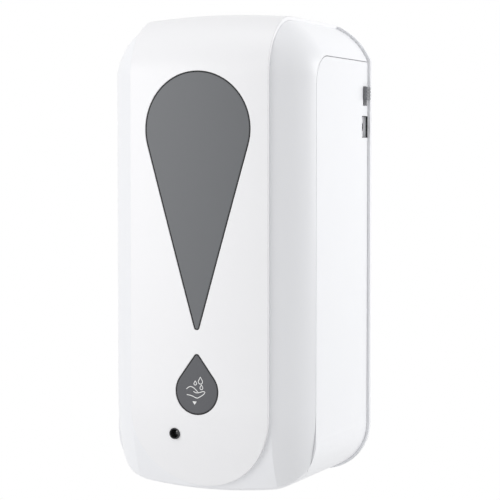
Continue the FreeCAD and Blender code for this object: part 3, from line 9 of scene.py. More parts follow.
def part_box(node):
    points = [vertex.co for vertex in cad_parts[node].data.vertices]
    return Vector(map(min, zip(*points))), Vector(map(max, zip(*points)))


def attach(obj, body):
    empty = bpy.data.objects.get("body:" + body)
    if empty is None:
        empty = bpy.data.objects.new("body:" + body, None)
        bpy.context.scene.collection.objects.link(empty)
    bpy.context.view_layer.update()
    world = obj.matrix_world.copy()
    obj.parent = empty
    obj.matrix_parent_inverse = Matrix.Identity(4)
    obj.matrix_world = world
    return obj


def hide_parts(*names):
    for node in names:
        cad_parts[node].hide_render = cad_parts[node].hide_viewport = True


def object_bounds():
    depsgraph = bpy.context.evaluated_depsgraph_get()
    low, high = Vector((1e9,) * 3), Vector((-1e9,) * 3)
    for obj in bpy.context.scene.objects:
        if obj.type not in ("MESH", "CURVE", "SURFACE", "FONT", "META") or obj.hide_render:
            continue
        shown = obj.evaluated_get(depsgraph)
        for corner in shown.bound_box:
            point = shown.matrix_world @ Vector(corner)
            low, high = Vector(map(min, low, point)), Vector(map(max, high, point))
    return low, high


bl_info = {
    "name": "Wall Soap Dispenser Finishes",
    "version": (1, 0, 0),
    "blender": (4, 5, 0),
    "location": "3D View > Sidebar > Dispenser",
    "description": "Finishes, drop inlays, printed sign, lens, linings, soap and studio of a soap dispenser",
    "category": "Object",
}

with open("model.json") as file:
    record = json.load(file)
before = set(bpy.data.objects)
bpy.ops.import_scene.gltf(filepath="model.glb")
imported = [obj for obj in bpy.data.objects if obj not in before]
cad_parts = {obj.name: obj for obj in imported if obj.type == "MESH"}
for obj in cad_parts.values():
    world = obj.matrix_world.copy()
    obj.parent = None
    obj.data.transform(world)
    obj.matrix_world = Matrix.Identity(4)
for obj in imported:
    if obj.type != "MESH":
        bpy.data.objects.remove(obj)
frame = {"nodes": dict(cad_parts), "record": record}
cad_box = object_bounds()

MM = 0.001
SMOOTH_ANGLE = math.radians(32)

# The two drops in the face and the sign on the small one.
INLAY_DEPTH = 1.9 * MM
WINDOW_TIP = 1.5 * MM
BADGE_TIP = 1.6 * MM
OUTLINE_STEPS = 72
RIM_SEGMENTS = 3
STRIP_WIDTH = 3 * MM
SIGN_DROP = 1.5 * MM
RING_SHARE = 0.85  # a hollow drop's line against the hand's

# The status lens, and the black linings of its hole and of the inlet, which are painted shade in those hollows.
LENS_STEM = 2.5 * MM
LENS_FLANGE = 1.0 * MM
LENS_STEPS = 40
SLEEVE_STEPS = 48
LINING_SINK = 0.4 * MM
LINING_WALL = 0.35 * MM
STATUS_SLEEVE = (2.55 * MM, 3.12 * MM)
INLET_SLEEVE = (2.8 * MM, 3.12 * MM)
INLET_SLEEVE_DEPTH = 1.6 * MM
INLET_RECESS = Vector((2.4, 10.2, 12.7)) * MM
INLET_PALE_FOOT = 1.0 * MM

# The soap inside the bottle.
SOAP_FROM_SIDES = 2.4 * MM
SOAP_FROM_FOOT = 8 * MM
SOAP_CORNER = 16 * MM

# Each soft light's place and side in metres.
FRONT_SOFTBOX = ((-0.5, -0.75, 0.15), 0.5)
SIDE_SOFTBOX = ((0.75, 0.35, 0.2), 0.5)
TOP_SOFTBOX = ((0.1, -0.4, 1.5), 1.1)
FLOOR_REACH = 3.0
FLOOR_FADE = (0.35, 1.1)  # distances between which the floor fades into the surround


def linear(code):
    """The linear red, green, blue and alpha of an sRGB code such as F2F3F4."""
    parts = [int(code[i:i + 2], 16) / 255 for i in (0, 2, 4)]
    return tuple(c / 12.92 if c <= 0.04045 else ((c + 0.055) / 1.055) ** 2.4 for c in parts) + (1.0,)


# ======================= sizes and colours that a user may change =======================
class DispenserColours(bpy.types.PropertyGroup):
    """The colours that give the dispenser its looks."""
    shell: bpy.props.FloatVectorProperty(
        name="Shell", description="White of the cover and the housing", subtype="COLOR", size=3,
        min=0, max=1, default=linear("F3F4F7")[:3])
    panel: bpy.props.FloatVectorProperty(
        name="Face panel", description="White of the raised strip", subtype="COLOR", size=3,
        min=0, max=1, default=linear("F6F6F8")[:3])
    window: bpy.props.FloatVectorProperty(
        name="Drop window", description="Grey of the large drop", subtype="COLOR", size=3,
        min=0, max=1, default=linear("6C6E71")[:3])
    badge: bpy.props.FloatVectorProperty(
        name="Badge", description="Grey of the small drop", subtype="COLOR", size=3,
        min=0, max=1, default=linear("5A5B5F")[:3])
    ink: bpy.props.FloatVectorProperty(
        name="Sign", description="White of the printed sign", subtype="COLOR", size=3,
        min=0, max=1, default=linear("F2F2F2")[:3])
    soap: bpy.props.FloatVectorProperty(
        name="Soap", description="Tint of the liquid in the bottle", subtype="COLOR", size=3,
        min=0, max=1, default=linear("BFE3EC")[:3])


class DispenserSizes(bpy.types.PropertyGroup):
    """The sizes of the details that the CAD leaves plain."""
    face_bow: bpy.props.FloatProperty(
        name="Face bow", description="How far the middle of the face stands ahead of the panel's edges",
        unit="LENGTH", min=0, default=2.0 * MM)
    inlay_edge: bpy.props.FloatProperty(
        name="Inlay edge", description="Rounding round the rim of both drops", unit="LENGTH", min=0,
        default=0.3 * MM)
    ink_width: bpy.props.FloatProperty(
        name="Line width", description="Width of the sign's lines", unit="LENGTH", min=0, default=0.46 * MM)
    ink_height: bpy.props.FloatProperty(
        name="Line height", description="How far the sign stands on the badge", unit="LENGTH", min=0,
        default=0.1 * MM)
    lens_bow: bpy.props.FloatProperty(
        name="Lens bow", description="How far the status lens bows forward", unit="LENGTH", min=0,
        default=0.45 * MM)
    # The joint's dark ring round both drops is partly painted shadow of the gap.
    joint_shadow_width: bpy.props.FloatProperty(
        name="Joint width", description="Width of the dark joint round both drops", unit="LENGTH", min=0,
        default=0.75 * MM)
    joint_shadow_reach: bpy.props.FloatProperty(
        name="Joint reach", description="How far the joint reaches outside the drops' CAD outline",
        unit="LENGTH", min=0, default=0.3 * MM)
    joint_shadow_sink: bpy.props.FloatProperty(
        name="Joint depth", description="How far the joint lies behind the face", unit="LENGTH", min=0,
        default=0.25 * MM)
    soap_level: bpy.props.FloatProperty(
        name="Soap level", description="Share of the bottle that the soap fills", subtype="FACTOR",
        min=0, max=1, default=0.72)


class StudioSettings(bpy.types.PropertyGroup):
    """Where the camera stands and how strong the studio's light is."""
    eye: bpy.props.FloatVectorProperty(
        name="Camera place", description="Where the camera stands", subtype="TRANSLATION", unit="LENGTH",
        size=3, default=(0.4191, -0.9920, 0.0508))
    focal_length: bpy.props.FloatProperty(
        name="Focal length", description="Camera lens, in millimetres on a 36 mm sensor", unit="CAMERA",
        min=1, default=126.5)
    pan: bpy.props.FloatProperty(
        name="Pan", description="Turn of the camera about the vertical", subtype="ANGLE",
        default=math.radians(23.67))
    dip: bpy.props.FloatProperty(
        name="Dip", description="How far the camera looks down", subtype="ANGLE",
        default=math.radians(2.83))
    front_light: bpy.props.FloatProperty(
        name="Front light", description="Power of the soft light ahead and to the left", unit="POWER",
        min=0, default=2.71)
    side_light: bpy.props.FloatProperty(
        name="Side light", description="Power of the soft light on the right", unit="POWER", min=0,
        default=3.53)
    top_light: bpy.props.FloatProperty(
        name="Top light", description="Power of the wide soft light overhead", unit="POWER", min=0,
        default=6.13)
    room_light: bpy.props.FloatProperty(
        name="Room light", description="Strength of the even light from all round", min=0, default=0.51)
    floor_drop: bpy.props.FloatProperty(
        name="Floor", description="How far the floor lies below the dispenser", unit="LENGTH", min=0,
        default=0.32)


# ======================= helpers for shapes =======================
def crown_radius():
    """Radius of the bowed face, from the panel's half width and the bow."""
    half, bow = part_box("face_panel")[1].x, bpy.context.scene.dispenser_sizes.face_bow
    return (half ** 2 + bow ** 2) / (2 * bow)


def crown_sag(x, radius):
    """How far the bowed face falls back at a distance x from its middle."""
    return radius - math.sqrt(radius ** 2 - x ** 2)


def follow_crown(form, front):
    """Carries a flat plate at y = 0 onto the bowed face whose middle is at y = front."""
    radius = crown_radius()
    for vert in form.verts:
        vert.co.y += front + crown_sag(vert.co.x, radius)


def slice_across(form):
    """Cuts a flat plate into upright strips of one width, so that it can bow."""
    reach = max(abs(v.co.x) for v in form.verts)
    cuts = int(2 * reach / STRIP_WIDTH)
    for i in range(1, cuts):
        bmesh.ops.bisect_plane(form, geom=form.verts[:] + form.edges[:] + form.faces[:], dist=1e-6,
                               plane_co=(reach * (2 * i / cuts - 1), 0, 0), plane_no=(1, 0, 0))


def arc_edges(form, centre_x, centre_z, radius, start, sweep, steps):
    """An arc of edges in the plane y = 0, measured from +X towards +Z. Returns its two ends."""
    first = form.verts.new((centre_x + radius * math.cos(start), 0, centre_z + radius * math.sin(start)))
    done = bmesh.ops.spin(form, geom=[first], cent=(centre_x, 0, centre_z), axis=(0, -1, 0), angle=sweep,
                          steps=steps, use_merge=False)
    return first, [v for v in done["geom_last"] if isinstance(v, bmesh.types.BMVert)][0]


def drop_outline(form, centre_x, centre_z, radius, tip_z, tip_radius, steps):
    """The outline of an upright drop in the plane y = 0: round belly, straight flanks and a small round tip."""
    way = 1 if tip_z > centre_z else -1
    tip_centre = tip_z - way * tip_radius
    lean = math.asin((radius - tip_radius) / abs(tip_centre - centre_z))
    belly = arc_edges(form, centre_x, centre_z, radius, way * lean, -way * (math.pi + 2 * lean), steps)
    tip = arc_edges(form, centre_x, tip_centre, tip_radius, way * lean, way * (math.pi - 2 * lean),
                    max(4, steps // 6))
    for a, b in zip(belly, tip):
        form.edges.new((a, b))


def fill(form):
    """Closes the outline with one face."""
    return bmesh.ops.contextual_create(form, geom=form.edges[:])["faces"]


def leave_ring(form, face, width):
    """Cuts away the inside of a flat face and leaves a ring of one width."""
    bmesh.ops.inset_region(form, faces=face, thickness=width, use_even_offset=True, use_boundary=True)
    bmesh.ops.delete(form, geom=face, context="FACES")


def give_depth(form, run):
    """Draws flat faces out along run into a closed body."""
    moved = bmesh.ops.extrude_face_region(form, geom=form.faces[:], use_keep_orig=True)["geom"]
    bmesh.ops.translate(form, verts=[v for v in moved if isinstance(v, bmesh.types.BMVert)], vec=run)
    bmesh.ops.recalc_face_normals(form, faces=form.faces)


def round_front_rim(form, radius):
    """Rounds the edge between the front face at y = 0 and the sides, and frames the face inside it."""
    rim = [e for e in form.edges if all(abs(v.co.y) < 1e-7 for v in e.verts) and len(e.link_faces) == 2
           and e.calc_face_angle(0) > math.radians(30)]
    bmesh.ops.bevel(form, geom=rim, offset=radius, offset_type="OFFSET", segments=RIM_SEGMENTS, profile=0.5,
                    affect="EDGES", material=-1, clamp_overlap=True)
    front = [f for f in form.faces if f.normal.y < -0.999 and all(abs(v.co.y) < 1e-7 for v in f.verts)]
    bmesh.ops.inset_region(form, faces=front, thickness=radius, use_even_offset=True)


def inlay(name, node, tip_radius, slot, depth_behind):
    """A drop-shaped plate set into the face, smaller than its CAD node by the width of its dark joint, a ring
    that is partly painted gap shadow.
    """
    sizes = bpy.context.scene.dispenser_sizes
    form = bmesh.new()
    node_outline(form, node, tip_radius, sizes.joint_shadow_width - sizes.joint_shadow_reach)
    fill(form)
    give_depth(form, (0, depth_behind, 0))
    round_front_rim(form, sizes.inlay_edge)
    slice_across(form)
    follow_crown(form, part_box(node)[0].y)
    return settle(form, name, "cover", finish_for(slot), [node])


def inlay_joint_and_gap_shadow(name, node, tip_radius, depth_behind):
    """The dark soft joint that fills the gap between an inlay and the panel; its black is partly painted shadow
    of that gap.
    """
    sizes = bpy.context.scene.dispenser_sizes
    form = bmesh.new()
    node_outline(form, node, tip_radius, -sizes.joint_shadow_reach)
    leave_ring(form, fill(form), sizes.joint_shadow_width)
    give_depth(form, (0, depth_behind, 0))
    slice_across(form)
    follow_crown(form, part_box(node)[0].y + sizes.joint_shadow_sink)
    return settle(form, name, "cover", joint_and_gap_shadow_finish())


def node_outline(form, node, tip_radius, inset):
    """The outline of one of the two drops in the face, taken in all round by inset."""
    low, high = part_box(node)
    tip_up = node == "badge_drop"
    belly_z = low.z + high.x if tip_up else high.z - high.x
    tip_z = high.z - inset if tip_up else low.z + inset
    drop_outline(form, 0, belly_z, high.x - inset, tip_z, tip_radius - inset, OUTLINE_STEPS)


def settle(form, name, body, finish, nodes=()):
    """Makes the mesh a piece that rides on a body and stands for the CAD nodes named."""
    mesh = bpy.data.meshes.new(name)
    form.to_mesh(mesh)
    form.free()
    mesh.shade_smooth()
    mesh.set_sharp_from_angle(angle=SMOOTH_ANGLE)
    mesh.materials.append(finish)
    piece = bpy.data.objects.new(name, mesh)
    bpy.context.scene.collection.objects.link(piece)
    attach(piece, body)
    if nodes:
        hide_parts(*nodes)
    return piece


# ======================= helpers for finishes =======================
def add_node(tree, kind, settings=None, links=None):
    """Adds one node. Settings name its own properties or its input sockets; links join inputs to outputs."""
    made = tree.nodes.new(kind)
    for key, value in (settings or {}).items():
        if isinstance(key, int) or key in made.inputs:
            made.inputs[key].default_value = value
        else:
            setattr(made, key, value)
    for key, source in (links or {}).items():
        tree.links.new(source, made.inputs[key])
    return made


def start_finish(name, settings):
    """A material with one Principled shader. Returns it, its tree, the shader and the place of each point."""
    finish = bpy.data.materials.new(name)
    finish.use_nodes = True
    tree = finish.node_tree
    tree.nodes.clear()
    shader = add_node(tree, "ShaderNodeBsdfPrincipled", settings)
    add_node(tree, "ShaderNodeOutputMaterial", links={"Surface": shader.outputs["BSDF"]})
    place = add_node(tree, "ShaderNodeTexCoord").outputs["Object"]
    return finish, tree, shader, place


def mottle(tree, shader, place, colour, drift, patch_mm, roughness, swing):
    """Lets colour and roughness drift a little over patches of a given size."""
    cloud = add_node(tree, "ShaderNodeTexNoise", {"Scale": 1 / (patch_mm * MM), "Detail": 3.0},
                     {"Vector": place}).outputs[0]
    dark = tuple(c * (1 - drift) for c in colour[:3]) + (1.0,)
    light = tuple(min(1.0, c * (1 + drift)) for c in colour[:3]) + (1.0,)
    tone = add_node(tree, "ShaderNodeMix", {"data_type": "RGBA", 6: dark, 7: light}, {0: cloud})
    tree.links.new(tone.outputs[2], shader.inputs["Base Color"])
    rough = add_node(tree, "ShaderNodeMapRange", {"To Min": roughness - swing, "To Max": roughness + swing},
                     {"Value": cloud})
    tree.links.new(rough.outputs[0], shader.inputs["Roughness"])


def relief(tree, shader, height, depth_mm, edge_mm=0.0):
    """Raises the surface by a height pattern and eases its moulded edges, where it has any."""
    settings = {"Strength": 1.0, "Distance": depth_mm * MM}
    links = {"Height": height}
    if edge_mm:
        eased = add_node(tree, "ShaderNodeBevel", {"samples": 6, "Radius": edge_mm * MM})
        links["Normal"] = eased.outputs["Normal"]
    bump = add_node(tree, "ShaderNodeBump", settings, links)
    tree.links.new(bump.outputs["Normal"], shader.inputs["Normal"])


def moulded(name, colour, roughness, grain_mm, depth_mm, edge_mm=0.0, drift=0.02, **settings):
    """Injection-moulded plastic: an even colour, a fine tool grain and eased edges."""
    finish, tree, shader, place = start_finish(name, {"IOR": 1.5, **settings})
    mottle(tree, shader, place, colour, drift=drift, patch_mm=18.0, roughness=roughness, swing=0.03)
    grain = add_node(tree, "ShaderNodeTexNoise", {"Scale": 1 / (grain_mm * MM), "Detail": 2.0},
                     {"Vector": place}).outputs[0]
    relief(tree, shader, grain, depth_mm=depth_mm, edge_mm=edge_mm)
    return finish


def worked_metal(name, colour, roughness, grain_mm, stretch, depth_mm):
    """Metal with fine marks of its making, drawn out along one direction."""
    finish, tree, shader, place = start_finish(name, {"Metallic": 1.0})
    drawn = add_node(tree, "ShaderNodeMapping", {"Scale": stretch}, {"Vector": place}).outputs[0]
    mottle(tree, shader, drawn, colour, drift=0.12, patch_mm=3.0, roughness=roughness, swing=0.07)
    marks = add_node(tree, "ShaderNodeTexNoise", {"Scale": 1 / (grain_mm * MM), "Detail": 4.0},
                     {"Vector": drawn}).outputs[0]
    relief(tree, shader, marks, depth_mm=depth_mm)
    return finish


# ======================= finishes =======================
def shell_white():
    # Glossy white ABS from a polished mould: broad soft highlights and a faint ripple of shrinkage.
    colours = bpy.context.scene.dispenser_colours
    return moulded("abs_white_polished", colours.shell,
                   roughness=0.3, grain_mm=9.0, depth_mm=0.006, edge_mm=0.45, drift=0.006)


def panel_white():
    # White ABS strip with a light satin: a flatter, slightly cleaner white than the shell.
    colours = bpy.context.scene.dispenser_colours
    return moulded("abs_white_satin", colours.panel,
                   roughness=0.38, grain_mm=7.0, depth_mm=0.005, edge_mm=0.45, drift=0.006)


def window_grey():
    # Smoked acrylic frosted on its face: an even mid grey with a soft veil of light and a fine frost.
    colours = bpy.context.scene.dispenser_colours
    return moulded("acrylic_smoked_frosted", colours.window,
                   roughness=0.46, grain_mm=0.7, depth_mm=0.004, drift=0.03, **{"Specular IOR Level": 0.35})


def badge_grey():
    # Satin ABS inlay tinted in the mass: a darker grey than the window, with a little less gloss.
    colours = bpy.context.scene.dispenser_colours
    return moulded("abs_grey_inlay", colours.badge,
                   roughness=0.44, grain_mm=0.6, depth_mm=0.004, drift=0.03, **{"Specular IOR Level": 0.4})


def sign_ink():
    # Pad-printed white ink: matt and opaque, with a slightly uneven film.
    colours = bpy.context.scene.dispenser_colours
    return moulded("ink_white_pad_printed", colours.ink,
                   roughness=0.6, grain_mm=0.3, depth_mm=0.006, drift=0.04)


def joint_and_gap_shadow_finish():
    # Black foam-rubber joint between inlay and panel: matt and nearly black, so that it draws a fine dark line
    # that is partly painted shadow of the gap.
    return moulded("rubber_joint_with_painted_gap_shadow", linear("1A1A1C"),
                   roughness=0.7, grain_mm=0.5, depth_mm=0.006, drift=0.08)


def lens_smoked():
    # Smoked polycarbonate light pipe: nearly black at rest with a sharp small glint.
    finish, tree, shader, place = start_finish("polycarbonate_smoked_lens", {
        "IOR": 1.585, "Roughness": 0.08, "Coat Weight": 0.6, "Coat Roughness": 0.04})
    mottle(tree, shader, place, linear("1B1C1F"), drift=0.2, patch_mm=1.5, roughness=0.1, swing=0.03)
    return finish


def nickel_plate():
    # Nickel-plated brass turned on a lathe: warm silver with fine marks.
    return worked_metal("nickel_plated_brass", linear("C9C6BE"),
                        roughness=0.26, grain_mm=0.4, stretch=(1, 1, 6), depth_mm=0.004)


def zinc_plate():
    # Zinc-plated steel: cool grey with cloudy spangle and a dull sheen.
    return worked_metal("zinc_plated_steel", linear("B4B9BE"),
                        roughness=0.34, grain_mm=0.5, stretch=(1, 1, 1), depth_mm=0.006)


def infrared_window():
    # Infrared-pass acrylic: gloss black that lets no visible light through.
    return moulded("acrylic_infrared_black", linear("0D0D10"),
                   roughness=0.12, grain_mm=4.0, depth_mm=0.002, drift=0.1)


def solder_mask():
    # Glass-epoxy board: green mask with faint copper tracks under it on a 1.3 mm pitch.
    finish, tree, shader, place = start_finish("glass_epoxy_green_mask", {"IOR": 1.52})
    tracks = add_node(tree, "ShaderNodeTexBrick", {
        "offset": 0.5, "squash": 1.0, "Color1": linear("1F5B36"), "Color2": linear("245F3B"),
        "Mortar": linear("3C8A55"), "Scale": 1 / (8.0 * MM), "Mortar Size": 0.03, "Mortar Smooth": 0.3,
        "Brick Width": 0.9, "Row Height": 0.16}, {"Vector": place})
    tree.links.new(tracks.outputs["Color"], shader.inputs["Base Color"])
    rough = add_node(tree, "ShaderNodeMapRange", {"To Min": 0.28, "To Max": 0.4},
                     {"Value": tracks.outputs["Fac"]})
    tree.links.new(rough.outputs[0], shader.inputs["Roughness"])
    relief(tree, shader, tracks.outputs["Fac"], depth_mm=0.02)
    return finish


def chassis_grey():
    # Grey ABS with a spark-eroded mould grain, drawn at 0.5 mm so that it shows.
    return moulded("abs_grey_spark_eroded", linear("B7BABD"),
                   roughness=0.5, grain_mm=0.5, depth_mm=0.012, edge_mm=0.3, drift=0.03)


def carrier_black():
    # Black ABS: matt, with the same eroded grain.
    return moulded("abs_black_spark_eroded", linear("26272A"),
                   roughness=0.48, grain_mm=0.5, depth_mm=0.012, edge_mm=0.25, drift=0.06)


def cell_sleeve():
    # Printed shrink sleeve on a steel cell: dark and light rings that repeat up the cell, under clear gloss.
    finish, tree, shader, place = start_finish("shrink_sleeve_cell", {
        "IOR": 1.5, "Roughness": 0.25, "Coat Weight": 0.5, "Coat Roughness": 0.1})
    rings = add_node(tree, "ShaderNodeTexWave", {
        "wave_type": "BANDS", "bands_direction": "Z", "wave_profile": "SIN", "Scale": 1 / (140.0 * MM),
        "Distortion": 0.0}, {"Vector": place})
    ramp = add_node(tree, "ShaderNodeValToRGB", links={"Fac": rings.outputs["Fac"]})
    ramp.color_ramp.interpolation = "CONSTANT"
    ramp.color_ramp.elements[0].color = linear("2B3038")
    ramp.color_ramp.elements[1].color = linear("B8863B")
    ramp.color_ramp.elements[1].position = 0.72
    tree.links.new(ramp.outputs["Color"], shader.inputs["Base Color"])
    film = add_node(tree, "ShaderNodeTexNoise", {"Scale": 1 / (5.0 * MM), "Detail": 2.0}, {"Vector": place})
    relief(tree, shader, film.outputs[0], depth_mm=0.02)
    return finish


def spring_wire():
    # Nickel-plated spring steel: bright silver drawn along the wire.
    return worked_metal("nickel_plated_spring_steel", linear("D2D0CA"),
                        roughness=0.22, grain_mm=0.3, stretch=(4, 4, 1), depth_mm=0.003)


def knob_grey():
    # Dark grey acetal knob: satin, slightly rubbed lighter.
    return moulded("acetal_dark_grey", linear("77787C"),
                   roughness=0.42, grain_mm=0.5, depth_mm=0.006, edge_mm=0.25, drift=0.06)


def bottle_milky():
    # Natural polyethylene, blow moulded: milky, lets the soap's level show through, with flow ripple.
    finish, tree, shader, place = start_finish("polyethylene_natural", {
        "IOR": 1.52, "Transmission Weight": 0.55, "Roughness": 0.32, "Subsurface Weight": 0.15,
        "Subsurface Radius": (0.004, 0.004, 0.004)})
    mottle(tree, shader, place, linear("EEF2F3"), drift=0.02, patch_mm=25.0, roughness=0.32, swing=0.05)
    flow = add_node(tree, "ShaderNodeTexNoise", {"Scale": 1 / (12.0 * MM), "Detail": 1.0}, {"Vector": place})
    relief(tree, shader, flow.outputs[0], depth_mm=0.08, edge_mm=0.5)
    return finish


def cap_plastic():
    # Polypropylene cap in mid blue: waxy sheen and soft edges.
    return moulded("polypropylene_blue", linear("3F76B5"),
                   roughness=0.36, grain_mm=0.8, depth_mm=0.008, edge_mm=0.3, drift=0.05)


def silicone_milk():
    # Cured silicone rubber: translucent, soft and slightly tacky-looking.
    finish, tree, shader, place = start_finish("silicone_translucent", {
        "IOR": 1.41, "Transmission Weight": 0.35, "Subsurface Weight": 0.3,
        "Subsurface Radius": (0.003, 0.003, 0.003)})
    mottle(tree, shader, place, linear("DDE0DC"), drift=0.05, patch_mm=6.0, roughness=0.45, swing=0.06)
    skin = add_node(tree, "ShaderNodeTexNoise", {"Scale": 1 / (1.2 * MM), "Detail": 2.0}, {"Vector": place})
    relief(tree, shader, skin.outputs[0], depth_mm=0.01)
    return finish


def acetal_natural():
    # Natural acetal gears and rollers: dense ivory white with a waxy gloss.
    return moulded("acetal_natural", linear("ECE9DF"),
                   roughness=0.3, grain_mm=0.9, depth_mm=0.005, edge_mm=0.15, drift=0.03)


def pinion_brass():
    # Cut brass pinion: yellow metal with hobbing marks across the teeth.
    return worked_metal("brass_hobbed", linear("C9A24E"),
                        roughness=0.28, grain_mm=0.25, stretch=(1, 5, 1), depth_mm=0.006)


def motor_case():
    # Deep-drawn steel can, bright nickel: marks run along the motor.
    return worked_metal("steel_can_drawn", linear("BFC1C4"),
                        roughness=0.3, grain_mm=0.5, stretch=(1, 0.15, 1), depth_mm=0.004)


def wire_cover(name, colour):
    """Soft PVC insulation: gloss that breaks up a little along the wire."""
    return moulded(name, linear(colour), roughness=0.35, grain_mm=0.8, depth_mm=0.006, drift=0.06)


def wires_red():
    # Red PVC insulation.
    return wire_cover("pvc_red", "B3282B")


def leads_grey():
    # Grey PVC insulation.
    return wire_cover("pvc_grey", "7D8084")


SLOT_FINISHES = {
    "white_shell": shell_white, "white_panel": panel_white, "smoked_window": window_grey,
    "badge_grey": badge_grey, "white_print": sign_ink, "clear_lens": lens_smoked,
    "lock_metal": nickel_plate, "zinc_steel": zinc_plate, "dark_window": infrared_window,
    "circuit_board": solder_mask, "grey_abs": chassis_grey, "black_abs": carrier_black,
    "cell_jacket": cell_sleeve, "spring_steel": spring_wire, "dark_knob": knob_grey,
    "clear_bottle": bottle_milky, "cap_blue": cap_plastic, "silicone": silicone_milk,
    "acetal": acetal_natural, "brass_pinion": pinion_brass, "motor_can": motor_case,
    "wire_red": wires_red, "wire_grey": leads_grey,
}


def finish_for(slot):
    """The material of a record slot, made the first time it is asked for."""
    made = bpy.context.scene.get("finish_" + slot)
    if made is None:
        made = SLOT_FINISHES[slot]().name
        bpy.context.scene["finish_" + slot] = made
    return bpy.data.materials[made]


# ======================= operators =======================
class DISPENSER_OT_finish_nodes(bpy.types.Operator):
    """Give every CAD piece the finish of its material slot"""
    bl_idname = "dispenser.finish_nodes"
    bl_label = "Finish the CAD pieces"

    def execute(self, context):
        for part in frame["record"]["subparts"]:
            mesh = frame["nodes"][part["node"]].data
            finish = finish_for(part["material_slot"])
            for i in range(len(mesh.materials)):
                mesh.materials[i] = finish
            if not mesh.materials:
                mesh.materials.append(finish)
        return {"FINISHED"}


class DISPENSER_OT_drop_window(bpy.types.Operator):
    """Make the large grey drop, bowed with the face and rounded at its rim"""
    bl_idname = "dispenser.drop_window"
    bl_label = "Drop window"

    def execute(self, context):
        inlay("drop_window_face", "drop_window", WINDOW_TIP, "smoked_window", INLAY_DEPTH)
        # The dark joint ring is partly painted gap shadow.
        inlay_joint_and_gap_shadow("drop_window_joint_and_gap_shadow", "drop_window", WINDOW_TIP, INLAY_DEPTH / 2)
        return {"FINISHED"}


class DISPENSER_OT_badge(bpy.types.Operator):
    """Make the small drop and the printed hand, drops and arrow on it"""
    bl_idname = "dispenser.badge"
    bl_label = "Badge and sign"

    def execute(self, context):
        sizes = context.scene.dispenser_sizes
        inlay("badge_plate", "badge_drop", BADGE_TIP, "badge_grey", INLAY_DEPTH)
        # The dark joint ring is partly painted gap shadow.
        inlay_joint_and_gap_shadow("badge_joint_and_gap_shadow", "badge_drop", BADGE_TIP, INLAY_DEPTH / 2)
        low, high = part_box("badge_drop")
        centre_z = low.z + high.x - SIGN_DROP

        lines = bpy.data.curves.new("sign_lines", "CURVE")
        lines.dimensions = "3D"
        lines.bevel_depth = sizes.ink_width / 2
        lines.bevel_resolution = 3
        lines.use_fill_caps = True
        # Each stroke is a soft line through its points, in millimetres from the sign's middle.
        back_of_hand = [(-6.4, 2.7), (-4.9, 4.0), (-3.2, 4.2), (-1.2, 3.2), (0.7, 1.2)]
        palm_and_finger = [(-2.1, 1.5), (-0.6, 0.7), (1.2, 0.8), (4.0, 1.8), (5.1, 1.5), (4.6, 0.2),
                           (0.9, -2.1), (-0.4, -2.2), (-3.4, -0.7), (-6.2, -0.5)]
        for stroke in (back_of_hand, palm_and_finger):
            spline = lines.splines.new("NURBS")
            spline.points.add(len(stroke) - 1)
            for point, (x, z) in zip(spline.points, stroke):
                point.co = (x * MM, 0, z * MM, 1)
            spline.order_u = 3
            spline.use_endpoint_u = True
            spline.resolution_u = 8
        holder = bpy.data.objects.new("sign_lines", lines)
        context.scene.collection.objects.link(holder)
        context.view_layer.update()
        form = bmesh.new()
        flat = bpy.data.meshes.new_from_object(holder.evaluated_get(context.evaluated_depsgraph_get()))
        form.from_mesh(flat)
        bpy.data.meshes.remove(flat)
        bpy.data.objects.remove(holder)
        bpy.data.curves.remove(lines)
        thin = 2 * sizes.ink_height / sizes.ink_width
        bmesh.ops.scale(form, verts=form.verts, vec=(1, thin, 1))
        # Each falling drop's place and radius, and the arrowhead's corners, in millimetres.
        for x, z, radius in ((2.3, 7.1, 1.5), (-0.9, 5.9, 1.0), (2.9, 3.6, 1.1)):
            self.hollow_drop(form, x * MM, z * MM, radius * MM, sizes)
        self.arrow(form, ((-2.6, -4.1), (0.0, -4.1), (-1.3, -6.0)), sizes)
        bmesh.ops.translate(form, verts=form.verts, vec=(0, 0, centre_z))
        follow_crown(form, low.y)
        settle(form, "sign_print", "cover", finish_for("white_print"), ["badge_sign"])
        return {"FINISHED"}

    def hollow_drop(self, form, x, z, radius, sizes):
        """A ring in the shape of a drop, one line wide."""
        ring = bmesh.new()
        drop_outline(ring, x, z, radius, z + 1.9 * radius, 0.12 * radius, 24)
        leave_ring(ring, fill(ring), sizes.ink_width * RING_SHARE)
        self.raise_ink(ring, sizes.ink_height)
        self.join(ring, form)

    def arrow(self, form, corners, sizes):
        """A small solid arrowhead that points to the outlet."""
        head = bmesh.new()
        head.faces.new([head.verts.new((x * MM, 0, z * MM)) for x, z in corners])
        self.raise_ink(head, sizes.ink_height)
        self.join(head, form)

    def raise_ink(self, form, height):
        """Gives flat ink its height towards the front, with a foot just inside the badge."""
        bmesh.ops.translate(form, verts=form.verts, vec=(0, height, 0))
        give_depth(form, (0, -2 * height, 0))

    def join(self, form, target):
        """Adds one form to another."""
        carrier = bpy.data.meshes.new("ink_part")
        form.to_mesh(carrier)
        form.free()
        target.from_mesh(carrier)
        bpy.data.meshes.remove(carrier)


